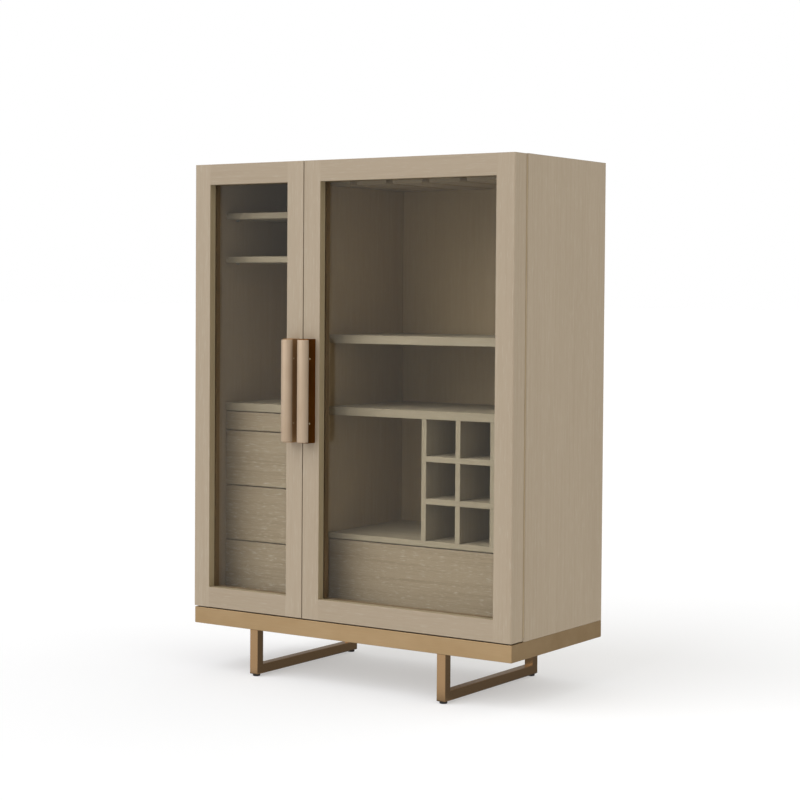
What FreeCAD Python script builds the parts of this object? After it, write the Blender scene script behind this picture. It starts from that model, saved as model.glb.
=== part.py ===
"""Bar cabinet: an oak case behind two framed glass doors, on a metal base with two sled legs.

All sizes are in millimetres. X runs to the right, Y to the back and Z up. The origin is on the
floor, in the middle of the box round the whole cabinet, pulls included.
"""
import FreeCAD, Part
import math
import os
import re

import Sketcher

# Driving sizes. Each can be changed by itself; the places further down follow from them.
SIZES = {
    # Whole cabinet
    "overall_width": 1100,
    "overall_height": 1500,
    "body_depth": 508,
    # Sled legs of square tube, on screwed-in glides
    "glide_height": 6,
    "glide_diameter": 22,
    "glide_bevel": 1.5,
    "glide_stem": 8,
    "glide_stem_length": 16,
    "leg_height": 131,
    "leg_tube": 28,
    "leg_wall": 2,
    "leg_corner": 4,
    "leg_spacing": 652,
    # Base frame of rectangular tube
    "base_height": 48,
    "base_setback": 4,
    "base_tube": 30,
    "base_wall": 2,
    "cross_tube": 40,
    "bolt_shank": 6,
    "bolt_head": 12,
    "bolt_head_height": 4,
    "bolt_grip": 16,
    "bolt_spacing": 260,
    # Case boards
    "case_board": 26,
    "divider_board": 22,
    "left_bay_width": 364,
    "back_board": 8,
    "back_inset": 4,
    "back_housing": 10,
    "back_play": 0.5,
    # Doors
    "door_thickness": 65,
    "door_gap": 3,
    "door_foot_gap": 4,
    "door_head_gap": 1,
    "left_door_width": 400,
    "meeting_gap": 3,
    "stile_width": 57,
    "rail_width": 60,
    "door_edge_radius": 4,
    "glass_depth": 25,
    "glass_thickness": 5,
    "glass_bite": 10,
    "glass_play": 2,
    "bead_depth": 20,
    # Continuous hinges in the seams between the doors and the case sides
    "hinge_barrel": 5,
    "hinge_pin": 2.4,
    "hinge_pin_play": 0.05,
    "hinge_margin": 8,
    "knuckle_play": 0.5,
    "leaf_play": 0.4,
    "leaf_width": 20,
    "leaf_notch": 0.5,
    "seam_play": 0.33,
    # Pulls: a half-round bar on a flat spine, with cross pins
    "pull_setback": 27,
    "handle_length": 296,
    "handle_width": 36,
    "handle_projection": 53,
    "handle_end_bevel": 1.5,
    "spine_width": 32,
    "cross_pin": 5,
    "cross_pin_stand": 1,
    "cross_pin_setback": 8,
    "cross_pin_spacing": 184,
    # Magnetic catches
    "magnet_width": 22,
    "magnet_height": 10,
    "magnet_depth": 12,
    "strike_width": 26,
    "strike_height": 14,
    "strike_depth": 2,
    "catch_stand": 1,
    # Shelves and decks
    "fitting_setback": 47,
    "main_shelf": 24,
    "light_shelf": 18,
    "shelf_play": 0.5,
    "shelf_headroom": 114,
    "shelf_spacing": 112,
    "tumbler_room": 184,
    "right_deck_board": 16,
    "shelf_pin": 5,
    "shelf_pin_grip": 8,
    "shelf_pin_reach": 10,
    "shelf_pin_inset": 50,
    # Bottle cubbies
    "cubby_board": 16,
    "cubby_height": 103.5,
    # Stemware rack
    "slat_board": 18,
    "slat_pitch": 124,
    "slot_width": 24,
    "spacer_width": 24,
    "foot_room": 23,
    # Drawers on nested channel runners
    "reveal": 3,
    "front_side_gap": 2,
    "drawer_front_height": 162.5,
    "tray_front_height": 54,
    "right_drawer_front_height": 194.5,
    "front_board": 18,
    "box_board": 12,
    "box_foot": 8,
    "box_head": 10,
    "box_bottom": 6,
    "bottom_rise": 6,
    "bottom_groove": 6,
    "drawer_rear_space": 20,
    "runner_gap": 13,
    "runner_height": 30,
    "runner_rise": 18,
    "runner_wall": 1.5,
    "runner_play": 0.4,
}

# Counts of what repeats.
LEFT_DRAWERS = ("left_drawer_lower", "left_drawer_middle", "left_drawer_upper")
CUBBY_ROWS = 3
CUBBY_COLUMNS = 3
STEM_SLOTS = 5
KNUCKLES = 3
BOLTS_PER_TUBE = 2
HEX_SIDES = 6

# Places that follow from the sizes, as formulas in their names.
PLACES = {
    # Plan of the whole cabinet
    "side_x": "overall_width / 2",
    "front_y": "(handle_projection - body_depth) / 2",
    "back_y": "front_y + body_depth",
    "base_y": "front_y + base_setback",
    "base_depth": "body_depth - base_setback",
    "case_front_y": "front_y + door_thickness + door_gap",
    "case_depth": "back_y - case_front_y",
    "fitting_y": "case_front_y + fitting_setback",
    "back_board_y": "back_y - back_inset - back_board",
    "fitting_depth": "back_board_y - fitting_y",
    # Heights of the base and the case
    "base_z": "glide_height + leg_height",
    "case_z": "base_z + base_height",
    "case_height": "overall_height - case_z",
    "floor_z": "case_z + case_board",
    "ceiling_z": "overall_height - case_board",
    # Bays either side of the divider
    "inner_x": "side_x - case_board",
    "divider_x": "left_bay_width - inner_x",
    "right_bay_x": "divider_x + divider_board",
    "right_bay_width": "inner_x - right_bay_x",
    # Doors
    "door_z": "case_z + door_foot_gap",
    "door_top_z": "overall_height - door_head_gap",
    "door_height": "door_top_z - door_z",
    "meeting_x": "left_door_width - side_x",
    "right_door_x": "meeting_x + meeting_gap",
    "right_door_width": "side_x - right_door_x",
    "sight_height": "door_height - 2 * rail_width",
    "sight_z": "door_z + rail_width",
    "rebate_width": "glass_bite + glass_play",
    # Hinges
    "hinge_x": "side_x - hinge_barrel / 2",
    "hinge_y": "case_front_y - door_gap / 2",
    "hinge_z": "door_z + hinge_margin",
    "hinge_length": "door_height - 2 * hinge_margin",
    "knuckle_pitch": f"hinge_length / {KNUCKLES}",
    "leaf_board": "(door_gap - leaf_play) / 2",
    "leaf_start": "hinge_barrel / 2 + leaf_notch",
    "seam_chamfer": "hinge_barrel / 2 - door_gap / 2 + sqrt(2) * (hinge_barrel / 2 + seam_play)",
    # Pulls and catches, on the meeting stiles
    "left_pull_x": "meeting_x - pull_setback",
    "right_pull_x": "right_door_x + pull_setback",
    "handle_z": "door_z + (door_height - handle_length) / 2",
    "spine_depth": "handle_projection - handle_width / 2",
    "catch_z": "overall_height - case_board / 2",
    # Left bay
    "drawer_pitch": "drawer_front_height + reveal",
    "first_front_z": "floor_z + reveal",
    "tray_front_z": f"first_front_z + {len(LEFT_DRAWERS)} * drawer_pitch",
    "left_deck_z": "tray_front_z + tray_front_height + reveal",
    "upper_shelf_z": "ceiling_z - shelf_headroom - light_shelf",
    "lower_shelf_z": "upper_shelf_z - shelf_spacing - light_shelf",
    # Right bay
    "right_deck_z": "first_front_z + right_drawer_front_height + reveal",
    "cubby_z": "right_deck_z + right_deck_board",
    "cubby_pitch_z": "cubby_height + cubby_board",
    "tumbler_shelf_z": f"cubby_z + {CUBBY_ROWS} * cubby_pitch_z - cubby_board",
    "tray_shelf_z": "tumbler_shelf_z + main_shelf + tumbler_room",
    "cubby_x": "right_bay_x + (right_bay_width - cubby_board) / 2",
    "cubby_pitch_x": f"(inner_x - cubby_x) / {CUBBY_COLUMNS}",
    "cubby_lap": "fitting_depth / 2",
    "slat_z": "ceiling_z - foot_room - slat_board",
    "slat_width": "slat_pitch - slot_width",
    "end_slat_width": f"(right_bay_width - {STEM_SLOTS - 1} * slat_pitch - slot_width) / 2",
    # Drawer boxes and runners
    "box_y": "fitting_y + front_board",
    "box_depth": "fitting_depth - front_board - drawer_rear_space",
    "channel_width": "runner_gap - runner_play",
    "slider_width": "runner_gap - runner_wall - runner_play",
    "slider_height": "runner_height - 2 * runner_wall - 2 * runner_play",
}

ALONG_X = FreeCAD.Rotation(FreeCAD.Vector(0, 1, 0), 90)
HALF_TURN = FreeCAD.Rotation(FreeCAD.Vector(0, 1, 0), 180)

doc = FreeCAD.newDocument("bar_cabinet")
size_sheet = doc.addObject("Spreadsheet::Sheet", "Sizes")
place_sheet = doc.addObject("Spreadsheet::Sheet", "Places")
nodes = []


def spelled(formula, inside_places=False):
    """A formula in the names above, as an expression that points at the two sheets."""
    def point(match):
        name = match.group()
        if name in SIZES:
            return "Sizes." + name
        if name in PLACES and not inside_places:
            return "Places." + name
        return name
    return re.sub(r"[a-z]\w*", point, formula)


def fill(sheet, row, name, text):
    sheet.set(f"A{row}", name)
    sheet.set(f"B{row}", text)
    sheet.setAlias(f"B{row}", name)


for row, (name, number) in enumerate(SIZES.items(), start=1):
    fill(size_sheet, row, name, str(number))
for row, (name, formula) in enumerate(PLACES.items(), start=1):
    fill(place_sheet, row, name, "=" + spelled(formula, inside_places=True))
doc.recompute()


def tie(feature, **formulas):
    """Bind properties of a feature to formulas."""
    for prop, formula in formulas.items():
        feature.setExpression(prop, spelled(formula))


def seat(thing, x, y, z, turn=None):
    """Put a piece's own origin at a place, after turning it."""
    if turn:
        thing.Placement = FreeCAD.Placement(FreeCAD.Vector(), turn)
    for axis, formula in (("x", x), ("y", y), ("z", z)):
        thing.setExpression("Placement.Base." + axis, spelled(formula))
    return thing


def node(thing):
    """Count a finished object as one of the cabinet's named sub-parts."""
    nodes.append(thing)
    return thing


def board(name, x, y, z, length, depth, height):
    """A plain rectangular board."""
    box = doc.addObject("Part::Box", name)
    tie(box, Length=length, Width=depth, Height=height)
    return seat(box, x, y, z)


def rod(name, x, y, z, diameter, length, turn=None):
    """A plain round pin or disc, along Z unless it is turned."""
    cylinder = doc.addObject("Part::Cylinder", name)
    tie(cylinder, Radius=f"({diameter}) / 2", Height=length)
    return seat(cylinder, x, y, z, turn)


def group(name, members):
    """Separate solids that make up one sub-part."""
    compound = doc.addObject("Part::Compound", name)
    compound.Links = members
    return compound


def cut_by(name, base, tool):
    """A piece with the seat of another piece cut out of it."""
    cut = doc.addObject("Part::Cut", name)
    cut.Base = base
    cut.Tool = tool
    return cut


def new_body(name):
    return doc.addObject("PartDesign::Body", name)


def new_sketch(body, plane, lift="0"):
    """An empty sketch on one of the body's own planes, lifted along the plane's normal."""
    sketch = body.newObject("Sketcher::SketchObject", body.Name + "_sketch")
    support = [feature for feature in body.Origin.OriginFeatures if feature.Role == plane]
    sketch.AttachmentSupport = (support[0], [""])
    sketch.MapMode = "FlatFace"
    sketch.setExpression("AttachmentOffset.Base.z", spelled(lift))
    return sketch


def add_outline(sketch, corners):
    """A closed outline of straight lines, with each corner's two coordinates bound to formulas."""
    first = sketch.GeometryCount
    count = len(corners)
    ring = [2 * math.pi * number / count for number in range(count + 1)]
    loose = [FreeCAD.Vector(math.cos(angle), math.sin(angle), 0) for angle in ring]
    for start, end in zip(loose, loose[1:]):
        sketch.addGeometry(Part.LineSegment(start, end), False)
    for number, (across, up) in enumerate(corners):
        line = first + number
        following = first + (number + 1) % count
        sketch.addConstraint(Sketcher.Constraint("Coincident", line, 2, following, 1))
        for kind, formula in (("DistanceX", across), ("DistanceY", up)):
            constraint = sketch.addConstraint(Sketcher.Constraint(kind, line, 1, 1.0))
            label = f"{kind}_{line}"
            sketch.renameConstraint(constraint, label)
            sketch.setExpression("Constraints." + label, spelled(formula))


def add_circle(sketch, radius):
    """A circle round the sketch's origin."""
    circle = Part.Circle(FreeCAD.Vector(), FreeCAD.Vector(0, 0, 1), 1)
    ring = sketch.addGeometry(circle, False)
    sketch.addConstraint(Sketcher.Constraint("Coincident", ring, 3, -1, 1))
    constraint = sketch.addConstraint(Sketcher.Constraint("Radius", ring, 1.0))
    label = f"Radius_{ring}"
    sketch.renameConstraint(constraint, label)
    sketch.setExpression("Constraints." + label, spelled(radius))


def rectangle(left, right, low, high):
    return [(left, low), (right, low), (right, high), (left, high)]


def mitred(length, width):
    """The outline of a piece whose two ends are cut at 45 degrees."""
    return [("0", "0"), (length, "0"), (f"{length} - {width}", width), (width, width)]


def pad(body, sketch, length, backwards=False):
    feature = body.newObject("PartDesign::Pad", body.Name + "_pad")
    feature.Profile = sketch
    feature.Reversed = backwards
    tie(feature, Length=length)
    return feature


def pocket(body, sketch, length=None, along_normal=False):
    """Cut a sketch into the body, right through when no length is given."""
    feature = body.newObject("PartDesign::Pocket", body.Name + "_pocket")
    feature.Profile = sketch
    feature.Reversed = along_normal
    if length:
        tie(feature, Length=length)
    else:
        feature.Type = "ThroughAll"
    return feature


def revolve(body, sketch):
    feature = body.newObject("PartDesign::Revolution", body.Name + "_turned")
    feature.Profile = sketch
    feature.ReferenceAxis = (sketch, ["V_Axis"])
    feature.Angle = 360
    return feature


def grid(body, features, sketch, across, columns, deep_axis, deep, rows):
    """Repeat features in columns across the sketch and in rows along another of its axes."""
    steps = []
    for label, axis, length, count in (("columns", "H_Axis", across, columns),
                                       ("rows", deep_axis, deep, rows)):
        step = body.newObject("PartDesign::LinearPattern", f"{body.Name}_{label}")
        step.Direction = (sketch, [axis])
        step.Occurrences = count
        tie(step, Length=length)
        steps.append(step)
    both = body.newObject("PartDesign::MultiTransform", body.Name + "_grid")
    both.Originals = features
    both.Transformations = steps
    body.Tip = both
    return both


def ease_edges(body, kind, chosen, **size):
    """Fillet or chamfer the edges whose every point lies where chosen says, in the body's frame."""
    doc.recompute()
    base = body.Tip
    picked = []
    for number, edge in enumerate(base.Shape.Edges, start=1):
        if all(chosen(vertex.Point) for vertex in edge.Vertexes):
            picked.append(f"Edge{number}")
    feature = body.newObject("PartDesign::" + kind, body.Name + "_" + kind.lower())
    feature.Base = (base, picked)
    tie(feature, **size)
    return feature


def near(value, sheet_name):
    """Whether a coordinate equals a named size or place."""
    sheet = size_sheet if sheet_name in SIZES else place_sheet
    return abs(value - sheet.get(sheet_name)) < 0.001


def at_zero(value):
    return abs(value) < 0.001


# Glides: turned plastic discs with a stem that goes up into the leg.
def make_glides():
    body = new_body("glides")
    sketch = new_sketch(body, "XZ_Plane")
    add_outline(sketch, [
        ("0", "0"),
        ("glide_diameter / 2 - glide_bevel", "0"),
        ("glide_diameter / 2", "glide_bevel"),
        ("glide_diameter / 2", "glide_height"),
        ("glide_stem / 2", "glide_height"),
        ("glide_stem / 2", "glide_height + glide_stem_length"),
        ("0", "glide_height + glide_stem_length"),
    ])
    disc = revolve(body, sketch)
    grid(body, [disc], sketch, "leg_spacing", 2, "N_Axis", "base_depth - leg_tube", 2)
    return seat(body, "-leg_spacing / 2", "back_y - leg_tube / 2", "0")


# Sled legs: a front post, a runner on the floor and a rear post, all one bent and welded tube.
def make_leg(name, x, glides):
    body = new_body(name + "_tube")
    outer = new_sketch(body, "YZ_Plane")
    add_outline(outer, [
        ("0", "0"),
        ("base_depth", "0"),
        ("base_depth", "leg_height"),
        ("base_depth - leg_tube", "leg_height"),
        ("base_depth - leg_tube", "leg_tube"),
        ("leg_tube", "leg_tube"),
        ("leg_tube", "leg_height"),
        ("0", "leg_height"),
    ])
    pad(body, outer, "leg_tube")
    bore = new_sketch(body, "YZ_Plane", "leg_wall")
    add_outline(bore, [
        ("leg_wall", "leg_wall"),
        ("base_depth - leg_wall", "leg_wall"),
        ("base_depth - leg_wall", "leg_height"),
        ("base_depth - leg_tube + leg_wall", "leg_height"),
        ("base_depth - leg_tube + leg_wall", "leg_tube - leg_wall"),
        ("leg_tube - leg_wall", "leg_tube - leg_wall"),
        ("leg_tube - leg_wall", "leg_height"),
        ("leg_wall", "leg_height"),
    ])
    pocket(body, bore, "leg_tube - 2 * leg_wall", along_normal=True)

    def outer_corner(point):
        return at_zero(point.z) and (at_zero(point.y) or near(point.y, "base_depth"))

    ease_edges(body, "Fillet", outer_corner, Radius="leg_corner")
    seat(body, x, "base_y", "glide_height")
    return cut_by(name, body, glides)


# Base frame: four mitred tubes round the edge and a cross tube over each leg.
def make_mitred_tube(name, length, x, y, turn):
    body = new_body(name)
    plan = new_sketch(body, "XY_Plane")
    add_outline(plan, mitred(length, "base_tube"))
    pad(body, plan, "base_height")
    bore = new_sketch(body, "YZ_Plane")
    add_outline(bore, rectangle("base_wall", "base_tube - base_wall",
                                "base_wall", "base_height - base_wall"))
    pocket(body, bore, along_normal=True)
    return seat(body, x, y, "base_z", FreeCAD.Rotation(FreeCAD.Vector(0, 0, 1), turn))


def make_cross_tube(name, x):
    body = new_body(name)
    section = new_sketch(body, "XZ_Plane")
    add_outline(section, rectangle("0", "cross_tube", "0", "base_height"))
    add_outline(section, rectangle("base_wall", "cross_tube - base_wall",
                                   "base_wall", "base_height - base_wall"))
    pad(body, section, "base_depth - 2 * base_tube", backwards=True)
    return seat(body, f"{x} - cross_tube / 2", "base_y + base_tube", "base_z")


def make_base_bolts():
    """Hexagon bolts up through the cross tubes into the case's bottom board."""
    body = new_body("base_bolts")
    head = new_sketch(body, "XY_Plane")
    corners = []
    for number in range(HEX_SIDES):
        angle = 2 * math.pi * number / HEX_SIDES
        corners.append((f"{math.cos(angle):.6f} * bolt_head / 2", f"{math.sin(angle):.6f} * bolt_head / 2"))
    add_outline(head, corners)
    head_pad = pad(body, head, "bolt_head_height")
    shank = new_sketch(body, "XY_Plane", "bolt_head_height")
    add_circle(shank, "bolt_shank / 2")
    shank_pad = pad(body, shank, "base_height + bolt_grip")
    row_length = f"{BOLTS_PER_TUBE - 1} * bolt_spacing"
    grid(body, [head_pad, shank_pad], head, "leg_spacing", 2, "V_Axis", row_length, BOLTS_PER_TUBE)
    return seat(body, "-leg_spacing / 2", f"base_y + base_depth / 2 - {row_length} / 2",
                "base_z - bolt_head_height")


def make_base():
    glides = node(make_glides())
    node(make_leg("left_leg", "-leg_spacing / 2 - leg_tube / 2", glides))
    node(make_leg("right_leg", "leg_spacing / 2 - leg_tube / 2", glides))
    bolts = node(make_base_bolts())
    tubes = [
        make_mitred_tube("base_front_tube", "overall_width", "-side_x", "base_y", 0),
        make_mitred_tube("base_rear_tube", "overall_width", "side_x", "back_y", 180),
        make_mitred_tube("base_left_tube", "base_depth", "-side_x", "back_y", -90),
        make_mitred_tube("base_right_tube", "base_depth", "side_x", "base_y", 90),
    ]
    for side, x in (("left", "-leg_spacing / 2"), ("right", "leg_spacing / 2")):
        tube = make_cross_tube(f"base_{side}_cross_blank", x)
        tubes.append(cut_by(f"base_{side}_cross_tube", tube, bolts))
    node(group("base_frame", tubes))
    return bolts


# Case: four boards mitred at the corners and rebated for the back board.
def make_case_board(name, length, x, z, turn, relieved=False):
    body = new_body(name)
    profile = new_sketch(body, "XZ_Plane")
    add_outline(profile, mitred(length, "case_board"))
    pad(body, profile, "case_depth", backwards=True)
    rebate = new_sketch(body, "XZ_Plane", "back_inset + back_board - case_depth")
    add_outline(rebate, [
        ("case_board - back_housing", "case_board - back_housing"),
        (f"{length} - case_board + back_housing", "case_board - back_housing"),
        (f"{length} - case_board", "case_board"),
        ("case_board", "case_board"),
    ])
    pocket(body, rebate)
    if relieved:
        ease_edges(body, "Chamfer", lambda point: at_zero(point.y) and at_zero(point.z),
                   Size="seam_chamfer")
    return seat(body, x, "case_front_y", z, FreeCAD.Rotation(FreeCAD.Vector(0, 1, 0), turn))


def make_shelf_pins():
    """Four pins under each of the two loose shelves, half sunk in the boards beside it."""
    pins = []
    for shelf in ("upper_shelf_z", "lower_shelf_z"):
        for y in ("fitting_y + shelf_pin_inset", "back_board_y - shelf_pin_inset"):
            for x in ("-inner_x - shelf_pin_grip", "divider_x - shelf_pin_reach"):
                pins.append(rod(f"shelf_pin_{len(pins) + 1}", x, y, f"{shelf} - shelf_pin / 2",
                                "shelf_pin", "shelf_pin_grip + shelf_pin_reach", ALONG_X))
    return group("shelf_pins", pins)


def make_magnets():
    """Bar magnets let into the front edge of the top board, one behind each door."""
    magnets = []
    for side in ("left", "right"):
        magnets.append(board(f"{side}_magnet", f"{side}_pull_x - magnet_width / 2",
                             "case_front_y - catch_stand", "catch_z - magnet_height / 2",
                             "magnet_width", "magnet_depth", "magnet_height"))
    return group("door_magnets", magnets)


def make_case(bolts):
    pins = node(make_shelf_pins())
    magnets = node(make_magnets())
    left = make_case_board("left_side_blank", "case_height", "-side_x", "overall_height", 90, True)
    right = make_case_board("right_side_panel", "case_height", "side_x", "case_z", -90, True)
    top = make_case_board("top_blank", "overall_width", "side_x", "overall_height", 180)
    bottom = make_case_board("bottom_blank", "overall_width", "-side_x", "case_z", 0)
    node(cut_by("left_side_panel", left, pins))
    node(right)
    node(cut_by("top_panel", top, magnets))
    node(cut_by("bottom_panel", bottom, bolts))
    divider = board("divider_blank", "divider_x", "case_front_y", "floor_z",
                    "divider_board", "back_board_y - case_front_y", "ceiling_z - floor_z")
    node(cut_by("divider_panel", divider, pins))
    lip = "(back_housing - back_play)"
    node(board("back_panel", f"-inner_x - {lip}", "back_board_y", f"floor_z - {lip}",
               f"2 * inner_x + 2 * {lip}", "back_board", f"ceiling_z - floor_z + 2 * {lip}"))


# Fittings behind the glass: shelves, decks, bottle cubbies and the stemware rack.
def make_shelves():
    """Two loose shelves on the left; everything else is fixed between the boards beside it."""
    left = []
    for level in ("lower", "upper"):
        left.append(board(f"left_{level}_shelf", "shelf_play - inner_x", "fitting_y",
                          f"{level}_shelf_z", "left_bay_width - 2 * shelf_play", "fitting_depth",
                          "light_shelf"))
    node(group("left_shelves", left))
    right = []
    for level in ("tumbler", "tray"):
        right.append(board(f"right_{level}_shelf", "right_bay_x", "fitting_y", f"{level}_shelf_z",
                           "right_bay_width", "fitting_depth", "main_shelf"))
    node(group("right_shelves", right))
    node(board("left_deck", "-inner_x", "fitting_y", "left_deck_z",
               "left_bay_width", "fitting_depth", "main_shelf"))
    node(board("right_deck", "right_bay_x", "fitting_y", "right_deck_z",
               "right_bay_width", "fitting_depth", "right_deck_board"))


def make_cubbies():
    """Uprights and shelves that cross in half laps: uprights cut at the front, shelves behind."""
    stack = f"{CUBBY_ROWS} * cubby_pitch_z - cubby_board"
    shelf_x = "cubby_x + cubby_board"
    shelf_length = "inner_x - cubby_x - cubby_board"
    levels = [f"cubby_z + cubby_height + {number} * cubby_pitch_z" for number in range(CUBBY_ROWS - 1)]
    places = [f"cubby_x + {number} * cubby_pitch_x" for number in range(CUBBY_COLUMNS)]
    front_laps = []
    for number, z in enumerate(levels, start=1):
        front_laps.append(board(f"cubby_front_lap_{number}", shelf_x, "fitting_y", z,
                                shelf_length, "cubby_lap", "cubby_board"))
    rear_laps = []
    for number, x in enumerate(places[1:], start=1):
        rear_laps.append(board(f"cubby_rear_lap_{number}", x, "fitting_y + cubby_lap", "cubby_z",
                               "cubby_board", "fitting_depth - cubby_lap", stack))
    front_tool = group("cubby_front_laps", front_laps)
    rear_tool = group("cubby_rear_laps", rear_laps)
    uprights = [board("cubby_partition", places[0], "fitting_y", "cubby_z",
                      "cubby_board", "fitting_depth", stack)]
    for number, x in enumerate(places[1:], start=1):
        blank = board(f"cubby_upright_blank_{number}", x, "fitting_y", "cubby_z",
                      "cubby_board", "fitting_depth", stack)
        uprights.append(cut_by(f"cubby_upright_{number}", blank, front_tool))
    shelves = []
    for number, z in enumerate(levels, start=1):
        blank = board(f"cubby_shelf_blank_{number}", shelf_x, "fitting_y", z,
                      shelf_length, "fitting_depth", "cubby_board")
        shelves.append(cut_by(f"cubby_shelf_{number}", blank, rear_tool))
    node(group("cubby_uprights", uprights))
    node(group("cubby_shelves", shelves))


def make_stemware_rack():
    """Slats under the ceiling, each hung from a narrower spacer, with slots for stems between."""
    slats = []
    spacers = []
    count = STEM_SLOTS + 1
    for number in range(count):
        width = "slat_width"
        x = f"right_bay_x + end_slat_width + slot_width + {number - 1} * slat_pitch"
        spacer_x = f"{x} + (slat_width - spacer_width) / 2"
        if number in (0, count - 1):
            width = "end_slat_width"
            x = "right_bay_x" if number == 0 else "inner_x - end_slat_width"
            spacer_x = "right_bay_x" if number == 0 else "inner_x - spacer_width"
        slats.append(board(f"stemware_slat_{number + 1}", x, "fitting_y", "slat_z",
                           width, "fitting_depth", "slat_board"))
        spacers.append(board(f"stemware_spacer_{number + 1}", spacer_x, "fitting_y",
                             "slat_z + slat_board", "spacer_width", "fitting_depth", "foot_room"))
    node(group("stemware_slats", slats))
    node(group("stemware_spacers", spacers))


# Drawers: a plain front on a grooved box, carried by channels nested in channels on the case.
def make_channel(name, width, height, x, z, faces_right):
    """A channel section along Y whose open side faces right or left."""
    body = new_body(name)
    section = new_sketch(body, "XZ_Plane")
    add_outline(section, [
        ("0", "0"),
        (width, "0"),
        (width, "runner_wall"),
        ("runner_wall", "runner_wall"),
        ("runner_wall", f"{height} - runner_wall"),
        (width, f"{height} - runner_wall"),
        (width, height),
        ("0", height),
    ])
    pad(body, section, "box_depth", backwards=True)
    if faces_right:
        return seat(body, x, "box_y", z)
    return seat(body, x, "box_y", f"{z} + {height}", HALF_TURN)


def make_drawer(name, bay_x, bay_width, front_z, front_height):
    """Returns the two channels on the case that carry this drawer."""
    node(board(f"{name}_front", f"{bay_x} + front_side_gap", "fitting_y", front_z,
               f"{bay_width} - 2 * front_side_gap", "front_board", front_height))
    box_x = f"{bay_x} + runner_gap"
    box_width = f"({bay_width} - 2 * runner_gap)"
    box_z = f"{front_z} + box_foot"
    box_height = f"({front_height} - box_foot - box_head)"
    bottom = board(f"{name}_bottom", f"{box_x} + box_board - bottom_groove",
                   "box_y + box_board - bottom_groove", f"{box_z} + bottom_rise",
                   f"{box_width} - 2 * (box_board - bottom_groove)",
                   "box_depth - 2 * (box_board - bottom_groove)", "box_bottom")
    walls = (
        ("left_wall", box_x, "box_y", "box_board", "box_depth"),
        ("right_wall", f"{box_x} + {box_width} - box_board", "box_y", "box_board", "box_depth"),
        ("inner_front", f"{box_x} + box_board", "box_y", f"{box_width} - 2 * box_board", "box_board"),
        ("rear_wall", f"{box_x} + box_board", "box_y + box_depth - box_board",
         f"{box_width} - 2 * box_board", "box_board"),
    )
    solids = [bottom]
    for wall, x, y, length, depth in walls:
        blank = board(f"{name}_{wall}_blank", x, y, box_z, length, depth, box_height)
        solids.append(cut_by(f"{name}_{wall}", blank, bottom))
    node(group(f"{name}_box", solids))
    middle = f"{box_z} + runner_rise"
    slider_z = f"{middle} - slider_height / 2"
    channel_z = f"{middle} - runner_height / 2"
    node(group(f"{name}_runners", [
        make_channel(f"{name}_left_slider", "slider_width", "slider_height", box_x, slider_z, False),
        make_channel(f"{name}_right_slider", "slider_width", "slider_height",
                     f"{box_x} + {box_width}", slider_z, True),
    ]))
    return [
        make_channel(f"{name}_left_channel", "channel_width", "runner_height", bay_x, channel_z, True),
        make_channel(f"{name}_right_channel", "channel_width", "runner_height",
                     f"{bay_x} + {bay_width}", channel_z, False),
    ]


def make_drawers():
    channels = []
    for number, name in enumerate(LEFT_DRAWERS):
        channels += make_drawer(name, "-inner_x", "left_bay_width",
                                f"first_front_z + {number} * drawer_pitch", "drawer_front_height")
    channels += make_drawer("pull_out_tray", "-inner_x", "left_bay_width",
                            "tray_front_z", "tray_front_height")
    channels += make_drawer("right_drawer", "right_bay_x", "right_bay_width",
                            "first_front_z", "right_drawer_front_height")
    node(group("case_runners", channels))


# Doors: rebated frames with glass held by beads, pulls on the meeting stiles.
def make_stile(name, x, on_left, hinged):
    """An upright of a door frame, drawn from its outer edge and turned over where that is its right."""
    body = new_body(name)
    plan = new_sketch(body, "XY_Plane")
    add_outline(plan, rectangle("0", "stile_width", "0", "door_thickness"))
    pad(body, plan, "door_height")
    rebate = new_sketch(body, "XY_Plane", "rail_width - rebate_width")
    add_outline(rebate, rectangle("stile_width - rebate_width", "stile_width",
                                  "glass_depth", "door_thickness"))
    pocket(body, rebate, "sight_height + 2 * rebate_width", along_normal=True)
    if hinged:
        ease_edges(body, "Fillet", lambda point: at_zero(point.x) and at_zero(point.y),
                   Radius="door_edge_radius")
        ease_edges(body, "Chamfer", lambda point: at_zero(point.x) and near(point.y, "door_thickness"),
                   Size="seam_chamfer")
    if on_left:
        return seat(body, x, "front_y", "door_z")
    return seat(body, x, "front_y", "door_top_z", HALF_TURN)


def make_rails(name, x, length):
    """The top and bottom of a door frame, between its stiles."""
    rails = []
    for level in ("bottom", "top"):
        body = new_body(f"{name}_{level}_rail")
        section = new_sketch(body, "YZ_Plane")
        add_outline(section, [
            ("0", "0"),
            ("door_thickness", "0"),
            ("door_thickness", "rail_width - rebate_width"),
            ("glass_depth", "rail_width - rebate_width"),
            ("glass_depth", "rail_width"),
            ("0", "rail_width"),
        ])
        pad(body, section, length)
        if level == "bottom":
            rails.append(seat(body, x, "front_y", "door_z"))
        else:
            rails.append(seat(body, f"{x} + {length}", "front_y", "door_top_z", HALF_TURN))
    return group(f"{name}_rails", rails)


def make_bead(name, length, x, z, turn):
    """A mitred bead, drawn along the bottom of the pane and turned to its own side."""
    body = new_body(name)
    profile = new_sketch(body, "XZ_Plane")
    add_outline(profile, mitred(length, "rebate_width"))
    pad(body, profile, "bead_depth", backwards=True)
    return seat(body, x, "front_y + glass_depth + glass_thickness", z,
                FreeCAD.Rotation(FreeCAD.Vector(0, 1, 0), turn))


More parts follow.
